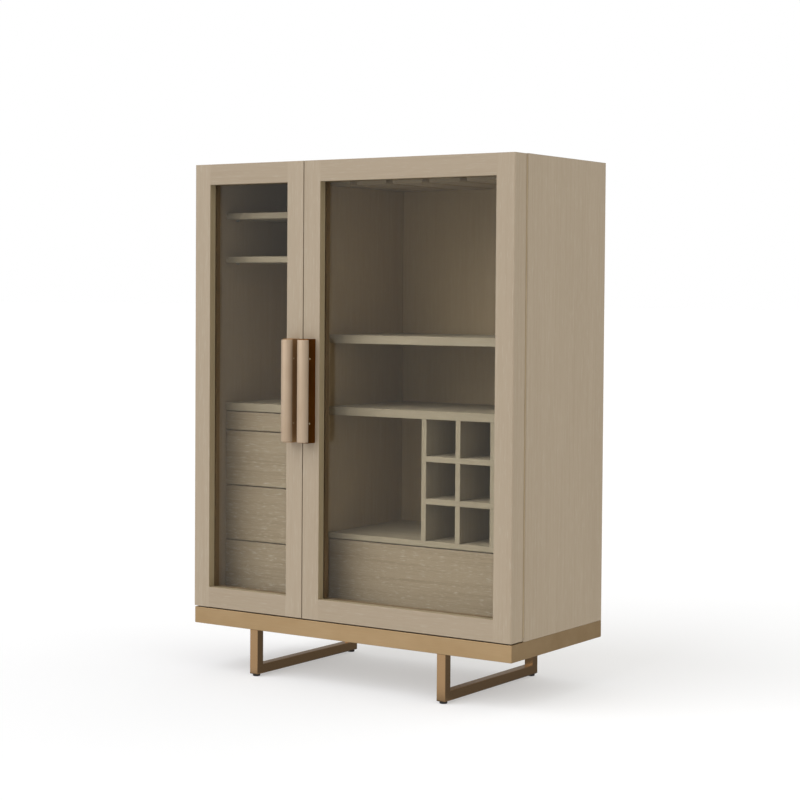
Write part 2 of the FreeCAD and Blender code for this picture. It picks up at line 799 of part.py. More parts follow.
def make_glazing(name, x, width):
    """The pane in its rebate, and four beads behind it."""
    node(board(f"{name}_glass", f"{x} - glass_bite", "front_y + glass_depth", "sight_z - glass_bite",
               f"{width} + 2 * glass_bite", "glass_thickness", "sight_height + 2 * glass_bite"))
    left = f"{x} - rebate_width"
    right = f"{x} + {width} + rebate_width"
    low = "sight_z - rebate_width"
    high = "sight_z + sight_height + rebate_width"
    across = f"({width} + 2 * rebate_width)"
    upright = "(sight_height + 2 * rebate_width)"
    node(group(f"{name}_beads", [
        make_bead(f"{name}_bottom_bead", across, left, low, 0),
        make_bead(f"{name}_right_bead", upright, right, low, -90),
        make_bead(f"{name}_top_bead", across, right, high, 180),
        make_bead(f"{name}_left_bead", upright, left, high, 90),
    ]))


def make_pull(name, x):
    """A half-round bar in front of a flat spine, with two pins across the spine."""
    bar = new_body(f"{name}_bar")
    sketch = new_sketch(bar, "XY_Plane")
    circle = Part.Circle(FreeCAD.Vector(), FreeCAD.Vector(0, 0, 1), 1)
    sketch.addGeometry(Part.ArcOfCircle(circle, math.pi, 2 * math.pi), False)
    sketch.addGeometry(Part.LineSegment(FreeCAD.Vector(1, 0, 0), FreeCAD.Vector(-1, 0, 0)), False)
    sketch.addConstraint([
        Sketcher.Constraint("Coincident", 0, 3, -1, 1),
        Sketcher.Constraint("Coincident", 0, 2, 1, 1),
        Sketcher.Constraint("Coincident", 1, 2, 0, 1),
        Sketcher.Constraint("PointOnObject", 0, 1, -1),
        Sketcher.Constraint("PointOnObject", 0, 2, -1),
    ])
    radius = sketch.addConstraint(Sketcher.Constraint("Radius", 0, 1.0))
    sketch.renameConstraint(radius, "radius")
    sketch.setExpression("Constraints.radius", spelled("handle_width / 2"))
    pad(bar, sketch, "handle_length")
    ease_edges(bar, "Chamfer", lambda point: at_zero(point.z), Size="handle_end_bevel")
    ease_edges(bar, "Chamfer", lambda point: near(point.z, "handle_length"), Size="handle_end_bevel")
    node(seat(bar, x, "front_y - spine_depth", "handle_z"))
    pins = []
    for number, sign in enumerate(("-", "+"), start=1):
        pins.append(rod(f"{name}_pin_{number}", f"{x} - spine_width / 2 - cross_pin_stand",
                        "front_y - spine_depth + cross_pin_setback",
                        f"handle_z + handle_length / 2 {sign} cross_pin_spacing / 2",
                        "cross_pin", "spine_width + 2 * cross_pin_stand", ALONG_X))
    pin_group = node(group(f"{name}_pins", pins))
    spine = board(f"{name}_spine_blank", f"{x} - spine_width / 2", "front_y - spine_depth", "handle_z",
                  "spine_width", "spine_depth", "handle_length")
    node(cut_by(f"{name}_spine", spine, pin_group))


def make_door(side, x, width):
    name = f"{side}_door"
    length = f"({width} - 2 * stile_width)"
    left_is_hinged = side == "left"
    left = "hinge_stile" if left_is_hinged else "meeting_stile_blank"
    right = "meeting_stile_blank" if left_is_hinged else "hinge_stile"
    stiles = {
        left: make_stile(f"{name}_{left}", x, True, left_is_hinged),
        right: make_stile(f"{name}_{right}", f"{x} + {width}", False, not left_is_hinged),
    }
    node(stiles["hinge_stile"])
    strike = node(board(f"{name}_strike", f"{side}_pull_x - strike_width / 2",
                        "front_y + door_thickness - strike_depth", "catch_z - strike_height / 2",
                        "strike_width", "strike_depth + catch_stand", "strike_height"))
    node(cut_by(f"{name}_meeting_stile", stiles["meeting_stile_blank"], strike))
    node(make_rails(name, f"{x} + stile_width", length))
    make_glazing(name, f"{x} + stile_width", length)
    make_pull(f"{side}_pull", f"{side}_pull_x")


# Continuous hinges: two leaves whose knuckles take turns on one long pin.
def make_leaf(name, x, on_case, opens_left):
    """A hinge leaf drawn from the pin's axis. The case leaf lies behind it, the door leaf in front."""
    body = new_body(name)
    low = "leaf_play / 2" if on_case else "-leaf_play / 2 - leaf_board"
    high = "leaf_play / 2 + leaf_board" if on_case else "-leaf_play / 2"
    reach = "leaf_start + leaf_width"
    strip = new_sketch(body, "XY_Plane")
    add_outline(strip, rectangle("leaf_start", reach, low, high))
    pad(body, strip, "hinge_length")
    start = "knuckle_play / 2" if on_case else "knuckle_pitch + knuckle_play / 2"
    count = (KNUCKLES + 1) // 2 if on_case else KNUCKLES // 2
    web = new_sketch(body, "XY_Plane", start)
    add_outline(web, rectangle("hinge_barrel / 2 - leaf_board / 2", "leaf_start", low, high))
    web_pad = pad(body, web, "knuckle_pitch - knuckle_play")
    barrel = new_sketch(body, "XY_Plane", start)
    add_circle(barrel, "hinge_barrel / 2")
    add_circle(barrel, "hinge_pin / 2 + hinge_pin_play")
    barrel_pad = pad(body, barrel, "knuckle_pitch - knuckle_play")
    row_of = body.newObject("PartDesign::LinearPattern", body.Name + "_row")
    row_of.Originals = [web_pad, barrel_pad]
    row_of.Direction = (barrel, ["N_Axis"])
    row_of.Occurrences = count
    tie(row_of, Length=f"{2 * (count - 1)} * knuckle_pitch")
    body.Tip = row_of
    if opens_left:
        return seat(body, x, "hinge_y", "hinge_z")
    return seat(body, x, "hinge_y", "hinge_z + hinge_length", HALF_TURN)


def make_hinges():
    case_leaves = []
    pins = []
    for side, x in (("left", "-hinge_x"), ("right", "hinge_x")):
        case_leaves.append(make_leaf(f"{side}_case_leaf", x, True, side == "left"))
        node(make_leaf(f"{side}_door_hinge_leaf", x, False, side == "left"))
        pins.append(rod(f"{side}_hinge_pin", x, "hinge_y", "hinge_z", "hinge_pin", "hinge_length"))
    node(group("case_hinge_leaves", case_leaves))
    node(group("hinge_pins", pins))


def write_parts():
    """Check every object, then write each sub-part to its own file."""
    doc.recompute()
    for thing in doc.Objects:
        if "Invalid" in thing.State or "Error" in thing.State:
            raise RuntimeError(f"{thing.Label} failed: {thing.State}")
    for thing in nodes:
        if thing.Shape.isNull() or not thing.Shape.isValid() or not thing.Shape.Solids:
            raise RuntimeError(f"{thing.Label} has no valid solid")
    os.makedirs("parts", exist_ok=True)
    for thing in nodes:
        thing.Shape.exportStep(f"parts/{thing.Label}.step")
    print(f"{len(nodes)} sub-parts, {sum(len(thing.Shape.Solids) for thing in nodes)} solids")


base_bolts = make_base()
make_case(base_bolts)
make_shelves()
make_cubbies()
make_stemware_rack()
make_drawers()
make_door("left", "-side_x", "left_door_width")
make_door("right", "right_door_x", "right_door_width")
make_hinges()
write_parts()
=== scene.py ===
# %% [markdown]
# # A bar cabinet with two glass doors
#
# This lesson dresses a packed cabinet in Blender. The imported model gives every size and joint. Each cell
# below takes one piece or one finish, says what it is on the real cabinet, and makes it in that place.
# All lengths are metres in Blender, and the cells speak of millimetres, because a joiner does.

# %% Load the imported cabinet
import math
import random

import bmesh
import bpy
from mathutils import Matrix, Vector


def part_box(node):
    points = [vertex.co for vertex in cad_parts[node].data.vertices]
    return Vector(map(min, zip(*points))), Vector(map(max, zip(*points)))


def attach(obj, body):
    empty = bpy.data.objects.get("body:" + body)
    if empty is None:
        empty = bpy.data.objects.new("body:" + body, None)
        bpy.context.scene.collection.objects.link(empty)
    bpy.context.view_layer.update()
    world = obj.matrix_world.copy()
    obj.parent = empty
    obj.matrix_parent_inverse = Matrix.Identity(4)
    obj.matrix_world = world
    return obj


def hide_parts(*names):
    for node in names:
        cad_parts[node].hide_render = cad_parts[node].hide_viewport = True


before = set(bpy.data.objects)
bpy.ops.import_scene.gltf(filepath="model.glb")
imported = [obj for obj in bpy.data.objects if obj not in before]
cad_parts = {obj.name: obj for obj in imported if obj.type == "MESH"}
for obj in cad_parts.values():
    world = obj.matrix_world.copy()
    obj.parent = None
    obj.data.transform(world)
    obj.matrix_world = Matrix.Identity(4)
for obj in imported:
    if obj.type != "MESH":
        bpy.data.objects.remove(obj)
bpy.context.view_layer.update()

MM = 0.001
scene = bpy.context.scene

# %% [markdown]
# ## The camera
#
# The picture was taken from the front right, a little below eye height, with a long lens. The place and the
# three angles were worked out from the straight edges of the cabinet, so they are plain numbers here. A
# camera looks along its own minus Z, so its matrix has the right, up and backward directions as columns.

# %% Camera
EYE = Vector((3.1592, -4.6171, 1.1183))
YAW = math.radians(34.106)
PITCH = math.radians(1.939)
ROLL = math.radians(0.395)
LENS = 86.51
SENSOR = 36
DROP = -0.0498

plumb = Vector((0, 0, 1))
level_ahead = Vector((-math.sin(YAW), math.cos(YAW), 0))
level_right = Vector((math.cos(YAW), math.sin(YAW), 0))
ahead = level_ahead * math.cos(PITCH) - plumb * math.sin(PITCH)
above = plumb * math.cos(PITCH) + level_ahead * math.sin(PITCH)
right = level_right * math.cos(ROLL) + above * math.sin(ROLL)
up = above * math.cos(ROLL) - level_right * math.sin(ROLL)

camera = bpy.data.objects.new("camera", bpy.data.cameras.new("camera"))
camera.data.lens = LENS
camera.data.sensor_width = SENSOR
camera.data.shift_y = DROP
camera.matrix_world = Matrix.Translation(EYE) @ Matrix((right, up, -ahead)).transposed().to_4x4()
scene.collection.objects.link(camera)
scene.camera = camera
print("camera distance in m:", round(EYE.length, 3))

# %% [markdown]
# ## Small helpers for materials
#
# Every finish below is a node tree. One function adds a node, sets its options and joins its inputs, another
# turns a colour written as sRGB hex into the linear numbers of a shader, and a third starts a material.

# %% Node and colour helpers
def add(tree, kind, feeds=None, **settings):
    """Adds one node. Settings are its own options; feeds are links or values for its inputs."""
    made = tree.nodes.new(kind)
    for option, value in settings.items():
        setattr(made, option, value)
    for place, value in (feeds or {}).items():
        if isinstance(value, bpy.types.NodeSocket):
            tree.links.new(value, made.inputs[place])
        else:
            made.inputs[place].default_value = value
    return made


def tint(code):
    """Linear red, green, blue and alpha of an sRGB hex colour."""
    shares = [int(code[i:i + 2], 16) / 255 for i in (1, 3, 5)]
    return [s / 12.92 if s <= 0.04045 else ((s + 0.055) / 1.055) ** 2.4 for s in shares] + [1.0]


def new_finish(name):
    """An empty material with its tree and its Principled shader."""
    finish = bpy.data.materials.new(name)
    finish.use_nodes = True
    return finish, finish.node_tree, finish.node_tree.nodes["Principled BSDF"]


print("mid grey in linear light:", [round(v, 3) for v in tint("#808080")[:3]])

# %% [markdown]
# ## One wide lamp
#
# The cabinet stands in a white studio where no edge throws a hard shadow. A sun lamp with a very wide disc
# gives that light. It comes from the front, a little from the left and from above, and softly shades the
# shelves behind the door frames. An area lamp would also do, but its light falls off with distance.

# %% Key lamp
scene.view_settings.view_transform = "Standard"
KEY_STRENGTH = 1.75
KEY_SPREAD = math.radians(60)
KEY_TURN = math.radians(-30)
KEY_HEIGHT = math.radians(38)

softbox = bpy.data.lights.new("softbox", "SUN")
softbox.energy = KEY_STRENGTH
softbox.angle = KEY_SPREAD
holder = bpy.data.objects.new("softbox", softbox)
towards_key = Vector((math.sin(KEY_TURN) * math.cos(KEY_HEIGHT),
                      -math.cos(KEY_TURN) * math.cos(KEY_HEIGHT),
                      math.sin(KEY_HEIGHT)))
holder.rotation_euler = towards_key.to_track_quat("Z", "Y").to_euler()
scene.collection.objects.link(holder)

# %% [markdown]
# ## The room
#
# The rest of the light is the room. Matt surfaces are filled from the right and rear by a slightly warm
# white, so the side of the cabinet isn't lost in shade. Reflections see dim, warm screens instead, which are
# brightest at the front, and this makes flat metal faces differ. The camera sees plain white, also through a
# pane, so the picture has no horizon. The Light Path node tells these three kinds of look apart.

# %% Room
WHITE = "#ffffff"
FILL_SIDE = (0.95, 0.2, 0.2)
FILL_DIM = 0.15
FILL_BRIGHT = 1.42
FILL_TINT = "#fffcf2"
SCREEN_SIDE = (-0.2, -0.92, 0.34)
SCREEN_DIM = 0.17
SCREEN_BRIGHT = 0.8
SCREEN_TINT = "#fffaf4"
TINT_STARTS = -0.4

world = bpy.data.worlds.new("studio")
scene.world = world
world.use_nodes = True
room = world.node_tree
room.nodes.clear()


def seen_through(tree):
    """1 for a look that has only passed through panes, 0 for light that has bounced off something."""
    rays = add(tree, "ShaderNodeLightPath").outputs
    bounces = add(tree, "ShaderNodeMath", {0: rays["Diffuse Depth"], 1: rays["Glossy Depth"]},
                  operation="ADD")
    straight = add(tree, "ShaderNodeMath", {0: bounces.outputs[0], 1: 0.5}, operation="LESS_THAN")
    return add(tree, "ShaderNodeMath", {0: straight.outputs[0], 1: rays["Is Transmission Ray"]},
               operation="MULTIPLY").outputs[0]


def leaning_light(towards, dim, bright, dim_tint, bright_tint):
    """Room light that grows from dim to bright towards one direction."""
    outwards = add(room, "ShaderNodeTexCoord").outputs["Generated"]
    lean = add(room, "ShaderNodeVectorMath", {0: outwards, 1: Vector(towards).normalized()},
               operation="DOT_PRODUCT").outputs["Value"]
    level = add(room, "ShaderNodeMapRange", {0: lean, 1: -1.0, 2: 1.0, 3: dim, 4: bright})
    share = add(room, "ShaderNodeMapRange", {0: lean, 1: TINT_STARTS, 2: 1.0, 3: 0.0, 4: 1.0})
    colour = add(room, "ShaderNodeMix", {0: share.outputs[0], 6: tint(dim_tint), 7: tint(bright_tint)},
                 data_type="RGBA")
    shining = add(room, "ShaderNodeBackground", {"Color": colour.outputs[2], "Strength": level.outputs[0]})
    return shining.outputs[0]


fill = leaning_light(FILL_SIDE, FILL_DIM, FILL_BRIGHT, WHITE, FILL_TINT)
screens = leaning_light(SCREEN_SIDE, SCREEN_DIM, SCREEN_BRIGHT, SCREEN_TINT, SCREEN_TINT)
white = add(room, "ShaderNodeBackground", {"Color": tint(WHITE), "Strength": 1.0}).outputs[0]
rays = add(room, "ShaderNodeLightPath").outputs
unseen = add(room, "ShaderNodeMixShader", {0: rays["Is Glossy Ray"], 1: fill, 2: screens})
looked_at = add(room, "ShaderNodeMath", {0: rays["Is Camera Ray"], 1: seen_through(room)}, operation="ADD")
either = add(room, "ShaderNodeMixShader", {0: looked_at.outputs[0], 1: unseen.outputs[0], 2: white})
add(room, "ShaderNodeOutputWorld", {"Surface": either.outputs[0]})
print("room nodes:", len(room.nodes))

# %% [markdown]
# ## The floor
#
# The floor is white studio paper, so wide that its edge is out of sight. It glows a little, which is painted
# light that keeps the shade under the cabinet pale. Seen in a reflection it shows the room's screens instead,
# a painted reflection that leaves no step at the horizon. Under and behind the cabinet that reflection is
# darkened, a painted shade, so the metal of the legs mirrors little light there.

# %% Floor
FLOOR_REACH = 150
PAINTED_FLOOR_GLOW = 0.39
CLOUDS_PER_METRE = 0.7
SHADE_CENTRE = (0, 0.5, 0)
SHADE_NEAR = 0.74
SHADE_FAR = 0.9
SHADE_LEVEL = 0.15

# Paper: matt, very slightly cool and cloudy, with no gloss of its own.
paper, tree, shader = new_finish("white studio paper")
spot = add(tree, "ShaderNodeTexCoord").outputs["Object"]
fibres = add(tree, "ShaderNodeTexNoise", {"Vector": spot, "Scale": CLOUDS_PER_METRE, "Detail": 2})
shade = add(tree, "ShaderNodeMix", {0: fibres.outputs[0], 6: tint("#c1c2c5"), 7: tint("#c4c5c8")},
            data_type="RGBA")
tree.links.new(shade.outputs[2], shader.inputs["Base Color"])
shader.inputs["Roughness"].default_value = 0.9
shader.inputs["Specular IOR Level"].default_value = 0.1
# Painted light: the grey paper glows, so that it looks white and the shade under the cabinet stays pale.
shader.inputs["Emission Color"].default_value = tint(WHITE)
shader.inputs["Emission Strength"].default_value = PAINTED_FLOOR_GLOW

# Painted reflection: rays that bounce off a glossy surface see the room's screens here instead of the lit
# paper.
way = add(tree, "ShaderNodeVectorMath", {0: spot}, operation="NORMALIZE")
lean = add(tree, "ShaderNodeVectorMath", {0: way.outputs[0], 1: Vector(SCREEN_SIDE).normalized()},
           operation="DOT_PRODUCT")
level = add(tree, "ShaderNodeMapRange", {
    0: lean.outputs["Value"], 1: -1.0, 2: 1.0, 3: SCREEN_DIM, 4: SCREEN_BRIGHT})
# Painted shade: near and under the cabinet this painted reflection is darkened.
reach = add(tree, "ShaderNodeVectorMath", {0: spot, 1: SHADE_CENTRE}, operation="DISTANCE")
open_floor = add(tree, "ShaderNodeMapRange", {0: reach.outputs["Value"], 1: SHADE_NEAR, 2: SHADE_FAR})
painted_shade_level = add(tree, "ShaderNodeMix", {0: open_floor.outputs[0], 2: SHADE_LEVEL, 3: level.outputs[0]})
painted_reflection = add(tree, "ShaderNodeEmission", {"Color": tint(SCREEN_TINT), "Strength": painted_shade_level.outputs[0]})
glossy = add(tree, "ShaderNodeLightPath").outputs["Is Glossy Ray"]
only_glossy = add(tree, "ShaderNodeMath", {0: glossy, 1: seen_through(tree)}, operation="SUBTRACT")
ground = add(tree, "ShaderNodeMixShader", {
    0: only_glossy.outputs[0], 1: shader.outputs[0], 2: painted_reflection.outputs[0]})
tree.links.new(ground.outputs[0], tree.nodes["Material Output"].inputs["Surface"])

sheet = bpy.data.meshes.new("floor")
sheet.from_pydata([(-FLOOR_REACH, -FLOOR_REACH, 0), (FLOOR_REACH, -FLOOR_REACH, 0),
                   (FLOOR_REACH, FLOOR_REACH, 0), (-FLOOR_REACH, FLOOR_REACH, 0)], [], [(0, 1, 2, 3)])
sheet.materials.append(paper)
floor = bpy.data.objects.new("floor", sheet)
scene.collection.objects.link(floor)
print("floor width in m:", 2 * FLOOR_REACH)

# %% [markdown]
# ## The pattern of oak
#
# The case, doors and drawer fronts are straight-grained oak. White paste was rubbed into the open pores and
# the rest wiped off, so the wood is pale and greyish with fine lighter dashes along the grain. The pattern
# is three stretched noises: broad tone, growth lines, and limed pores. They are solid patterns, so the ends
# of a board show end grain. Each board has its own number, which shifts the pattern, so no two match.
#
# A real pore is about 0.3 mm wide. The picture shows 3 mm in a pixel, so the dashes are drawn coarser.

# %% Wood pattern
UPRIGHT = 2
LEVEL = 0
DEEP = 1
GRAIN_WORDS = {UPRIGHT: "upright", LEVEL: "level", DEEP: "deep"}

# Width and length of the streaks, in millimetres.
TONE_STREAK = (70, 900)
LINE_STREAK = (7, 320)
PORE_WIDTH = 3.2
PORE_LENGTH = 46
# The height of each noise where a streak begins to show, and where it shows in full.
LINE_SHOWS = (0.46, 0.74)
PORE_SHOWS = (0.56, 0.72)
TONE_SHOWS = (0.35, 1.0)
# Boards differ in tone by at most this share of the dark colour.
TONE_SHARE = 0.35
BOARD_SHIFT = (2.3, 3.1, 1.7)
GRAIN_DEPTH = 0.25 * MM


def streaks(tree, place, along, width, length, detail):
    """Noise drawn out along one axis; width and length are the size of a streak in millimetres."""
    size = [width * MM] * 3
    size[along] = length * MM
    stretched = add(tree, "ShaderNodeMapping", {"Vector": place, "Scale": [1 / s for s in size]})
    noise = add(tree, "ShaderNodeTexNoise", {
        "Vector": stretched.outputs[0], "Scale": 1.0, "Detail": detail, "Roughness": 0.55})
    return noise.outputs[0]


def grained_wood(name, along, mid, dark, pale, figure, sheen, dash=PORE_LENGTH):
    """Wood with its grain along one axis. Figure says how strongly lines and pores show."""
    finish, tree, shader = new_finish(name)
    place = add(tree, "ShaderNodeTexCoord").outputs["Object"]
    board = add(tree, "ShaderNodeAttribute", attribute_name="board").outputs["Fac"]
    moved = add(tree, "ShaderNodeVectorMath", {0: board, 1: BOARD_SHIFT, 2: place},
                operation="MULTIPLY_ADD").outputs[0]
    tone = streaks(tree, moved, along, *TONE_STREAK, 2)
    lines = streaks(tree, moved, along, *LINE_STREAK, 3)
    pores = streaks(tree, moved, along, PORE_WIDTH, dash, 2)

    own_tone = add(tree, "ShaderNodeMath", {0: board, 1: TONE_SHARE, 2: tone}, operation="MULTIPLY_ADD")

    colour = tint(mid)
    for noise, shows, most, over in ((own_tone.outputs[0], TONE_SHOWS, TONE_SHARE, dark),
                                     (lines, LINE_SHOWS, figure, dark),
                                     (pores, PORE_SHOWS, figure, pale)):
        share = add(tree, "ShaderNodeMapRange", {0: noise, 1: shows[0], 2: shows[1], 3: 0.0, 4: most})
        laid_over = add(tree, "ShaderNodeMix", {0: share.outputs[0], 6: colour, 7: tint(over)},
                        data_type="RGBA")
        colour = laid_over.outputs[2]
    tree.links.new(colour, shader.inputs["Base Color"])
    rough = add(tree, "ShaderNodeMapRange", {0: lines, 1: 0.3, 2: 0.7, 3: sheen - 0.06, 4: sheen + 0.08})
    tree.links.new(rough.outputs[0], shader.inputs["Roughness"])
    relief = add(tree, "ShaderNodeMath", {0: lines, 1: pores}, operation="SUBTRACT")
    bump = add(tree, "ShaderNodeBump", {
        "Strength": 0.3, "Distance": GRAIN_DEPTH, "Height": relief.outputs[0]})
    tree.links.new(bump.outputs[0], shader.inputs["Normal"])
    return finish


def grained_set(name, grains, *look):
    """The same wood with its grain in several directions."""
    return {grain: grained_wood(f"{name}, {GRAIN_WORDS[grain]} grain", grain, *look) for grain in grains}


print("a growth line is drawn", LINE_STREAK[0], "mm wide, a pore", PORE_WIDTH, "mm")

# %% [markdown]
# ## The colours of oak
#
# Every group of boards gets its own three colours for the body of the wood, its dark lines and its limed
# pores: the palest for the fronts, a warmer colour for the back, and a darker one for the beads, which
# paints the shade round each pane. How strongly they show and how dull the lacquer is come last.

# %% Wood finishes
# Limed oak under matt lacquer: quiet, pale, slightly grey, with a soft sheen and no gloss.
# The level boards are a shade darker.
OAK = {
    UPRIGHT: grained_wood("limed oak, upright grain", UPRIGHT, "#9f907c", "#90806a", "#b1a897", 0.3, 0.52),
    LEVEL: grained_wood("limed oak, level grain", LEVEL, "#9c8d79", "#8d7d67", "#aea594", 0.3, 0.52),
    DEEP: grained_wood("limed oak, deep grain", DEEP, "#9f907a", "#908068", "#b1a895", 0.3, 0.52),
}
# Back and divider get a warmer oak colour.
WARM_OAK = grained_wood("warmer oak", UPRIGHT, "#a29074", "#937e61", "#b5a88b", 0.3, 0.52)
# The boards inside are a little greyer and duller than the fronts.
INNER_OAK = grained_set("grey limed oak", (UPRIGHT, LEVEL), "#998f7d", "#8b806d", "#aaa495", 0.3, 0.55)
# Glazing beads in a darker, browner oak colour: painted shade, which makes a dark line round each pane.
SHADED_BEAD_OAK = grained_set("oak bead, painted shade", (UPRIGHT, LEVEL), "#7c664c", "#6b563d", "#8c775c", 0.3, 0.6)
# The edges of a door frame that look into its opening are browner.
EDGE_OAK = grained_set("browner oak edge", (UPRIGHT, LEVEL), "#9a8a6d", "#8b7a5b", "#aca288", 0.3, 0.52)
# Drawer veneer: the same oak, cut so that short limed flecks show.
FLECK_LENGTH = 22
FLECKED_OAK = grained_wood("limed oak veneer, flecked", LEVEL, "#978975", "#80715b", "#b4ab9e", 0.7, 0.52,
                           FLECK_LENGTH)
print("oak finishes:", sum("oak" in finish.name for finish in bpy.data.materials))

# %% [markdown]
# ## Boards with sanded edges
#
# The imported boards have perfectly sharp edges, which no sanded board has. A copy of each mesh is merged,
# because it comes as loose triangles, then its flat triangles are joined into whole faces and its long
# edges are rounded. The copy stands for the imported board. A Bevel modifier would round every sharp edge,
# also the short ones in holes and grooves, which stay sharp on a real board.

# %% Helpers for boards
SAME_PLACE = 0.01 * MM
FLAT = math.radians(0.5)
SHARP = math.radians(35)
ROUND_STEPS = 3
draw = random.Random(41)


def number_boards(shape):
    """Gives every separate solid in a mesh its own number between 0 and 1, for the wood pattern."""
    layer = shape.faces.layers.float.new("board")
    left = set(shape.faces)
    while left:
        first = min(left, key=lambda face: face.index)
        left.remove(first)
        share = draw.random()
        waiting = [first]
        while waiting:
            face = waiting.pop()
            face[layer] = share
            for edge in face.edges:
                for other in edge.link_faces:
                    if other in left:
                        left.remove(other)
                        waiting.append(other)


def show(name, shape, finishes):
    """Turns a finished bmesh into an object with its materials."""
    shape.faces.index_update()
    number_boards(shape)
    mesh = bpy.data.meshes.new(name)
    shape.to_mesh(mesh)
    shape.free()
    for finish in finishes:
        mesh.materials.append(finish)
    piece = bpy.data.objects.new(name, mesh)
    scene.collection.objects.link(piece)
    return piece


def hand_over(piece, body, slot, *nodes):
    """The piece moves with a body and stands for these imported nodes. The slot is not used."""
    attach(piece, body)
    if nodes:
        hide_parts(*nodes)


def merged_copy(node):
    """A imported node's mesh as whole flat faces."""
    shape = bmesh.new()
    shape.from_mesh(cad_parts[node].data)
    bmesh.ops.remove_doubles(shape, verts=shape.verts, dist=SAME_PLACE)
    bmesh.ops.dissolve_limit(shape, angle_limit=FLAT, verts=shape.verts, edges=shape.edges)
    return shape


def round_edges(shape, edges, radius):
    """Rounds the given edges of a bmesh; the radius is in millimetres."""
    bmesh.ops.bevel(shape, geom=edges, offset=radius * MM, segments=ROUND_STEPS, profile=0.5, affect="EDGES",
                    clamp_overlap=True)


def long_edges(shape, shortest=20):
    """The sharp edges that sandpaper reaches, which are longer than a given number of millimetres."""
    return [edge for edge in shape.edges if edge.is_manifold
            and edge.calc_face_angle(0) > SHARP and edge.calc_length() > shortest * MM]


def put_in_place(node, shape, body, finish, slot):
    """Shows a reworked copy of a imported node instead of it."""
    for face in shape.faces:
        face.material_index = 0
    hand_over(show(f"{node}.eased", shape, [finish]), body, slot, node)


def eased_board(node, body, finish, radius=1.2):
    """A packed board with its long edges rounded."""
    shape = merged_copy(node)
    round_edges(shape, long_edges(shape), radius)
    put_in_place(node, shape, body, finish, "oak")


print("edges sharper than", round(math.degrees(SHARP)), "degrees are eased")

# %% [markdown]
# ## The case
#
# The case is a box of thick boards, with shelves, decks and pigeonholes inside. The outer boards are limed,
# the inner ones are greyer, and the back and the divider are warmer. The grain of a board runs along
# its length, so the tables below give a direction to each.

# %% Boards of the case
OUTER_BOARDS = {
    "left_side_panel": UPRIGHT, "right_side_panel": UPRIGHT, "top_panel": LEVEL, "bottom_panel": LEVEL,
    "stemware_spacers": DEEP,
}
INNER_BOARDS = {
    "left_shelves": LEVEL, "right_shelves": LEVEL,
    "left_deck": LEVEL, "right_deck": LEVEL, "cubby_uprights": UPRIGHT, "cubby_shelves": LEVEL,
}
VENEERED_BOARDS = ("divider_panel", "back_panel")
for node, grain in OUTER_BOARDS.items():
    eased_board(node, "case", OAK[grain])
for node, grain in INNER_BOARDS.items():
    eased_board(node, "case", INNER_OAK[grain])
for node in VENEERED_BOARDS:
    eased_board(node, "case", WARM_OAK)
print("boards of the case:", len(OUTER_BOARDS) + len(INNER_BOARDS) + len(VENEERED_BOARDS))

# %% [markdown]
# ## Helpers for Geometry Nodes
#
# Pieces that repeat are made by Geometry Nodes. A tree has named inputs for its sizes, and it ends in real
# geometry with a material. It runs over a few points, and its result is kept as a plain mesh.

# %% Geometry Nodes helpers
def new_tree(name, sizes):
    """A Geometry Nodes tree with a geometry and a material input, and named inputs for its sizes."""
    made = bpy.data.node_groups.new(name, "GeometryNodeTree")
    made.interface.new_socket("Geometry", in_out="INPUT", socket_type="NodeSocketGeometry")
    for label, kind in sizes.items():
        made.interface.new_socket(label, in_out="INPUT", socket_type=f"NodeSocket{kind}")
    made.interface.new_socket("Material", in_out="INPUT", socket_type="NodeSocketMaterial")
    made.interface.new_socket("Geometry", in_out="OUTPUT", socket_type="NodeSocketGeometry")
    return made, add(made, "NodeGroupInput").outputs


def close_tree(tree, given, geometry):
    """Ends a tree: real geometry in place of instances, with its material."""
    real = add(tree, "GeometryNodeRealizeInstances", {0: geometry})
    dressed = add(tree, "GeometryNodeSetMaterial", {
        "Geometry": real.outputs[0], "Material": given["Material"]})
    add(tree, "NodeGroupOutput", {0: dressed.outputs[0]})


def grow(tree, name, points, values):
    """Runs a tree over a mesh of points and returns the result as a bmesh."""
    seed = bpy.data.meshes.new(name)
    seed.from_pydata(points, [], [])
    carrier = bpy.data.objects.new(name, seed)
    scene.collection.objects.link(carrier)
    modifier = carrier.modifiers.new(name, "NODES")
    modifier.node_group = tree
    for item in tree.interface.items_tree:
        if item.in_out == "INPUT" and item.name in values:
            modifier[item.identifier] = values[item.name]
    grown = carrier.evaluated_get(bpy.context.evaluated_depsgraph_get())
    mesh = bpy.data.meshes.new_from_object(grown)
    carrier.modifiers.remove(modifier)
    bpy.data.objects.remove(carrier)
    shape = bmesh.new()
    shape.from_mesh(mesh)
    bpy.data.meshes.remove(mesh)
    return shape


print("trees so far:", len(bpy.data.node_groups))

# %% [markdown]
# ## The hanging rack
#
# Under the ceiling of the right bay hang slats with slots between them. They follow a rule: one rounded
# section, drawn out front to back, repeated at a pitch, and trimmed by the bay's walls. The section is a
# rounded rectangle on a straight path, and the walls are a clamp on the X of every point.

# %% Slat tree
CORNER_STEPS = 4

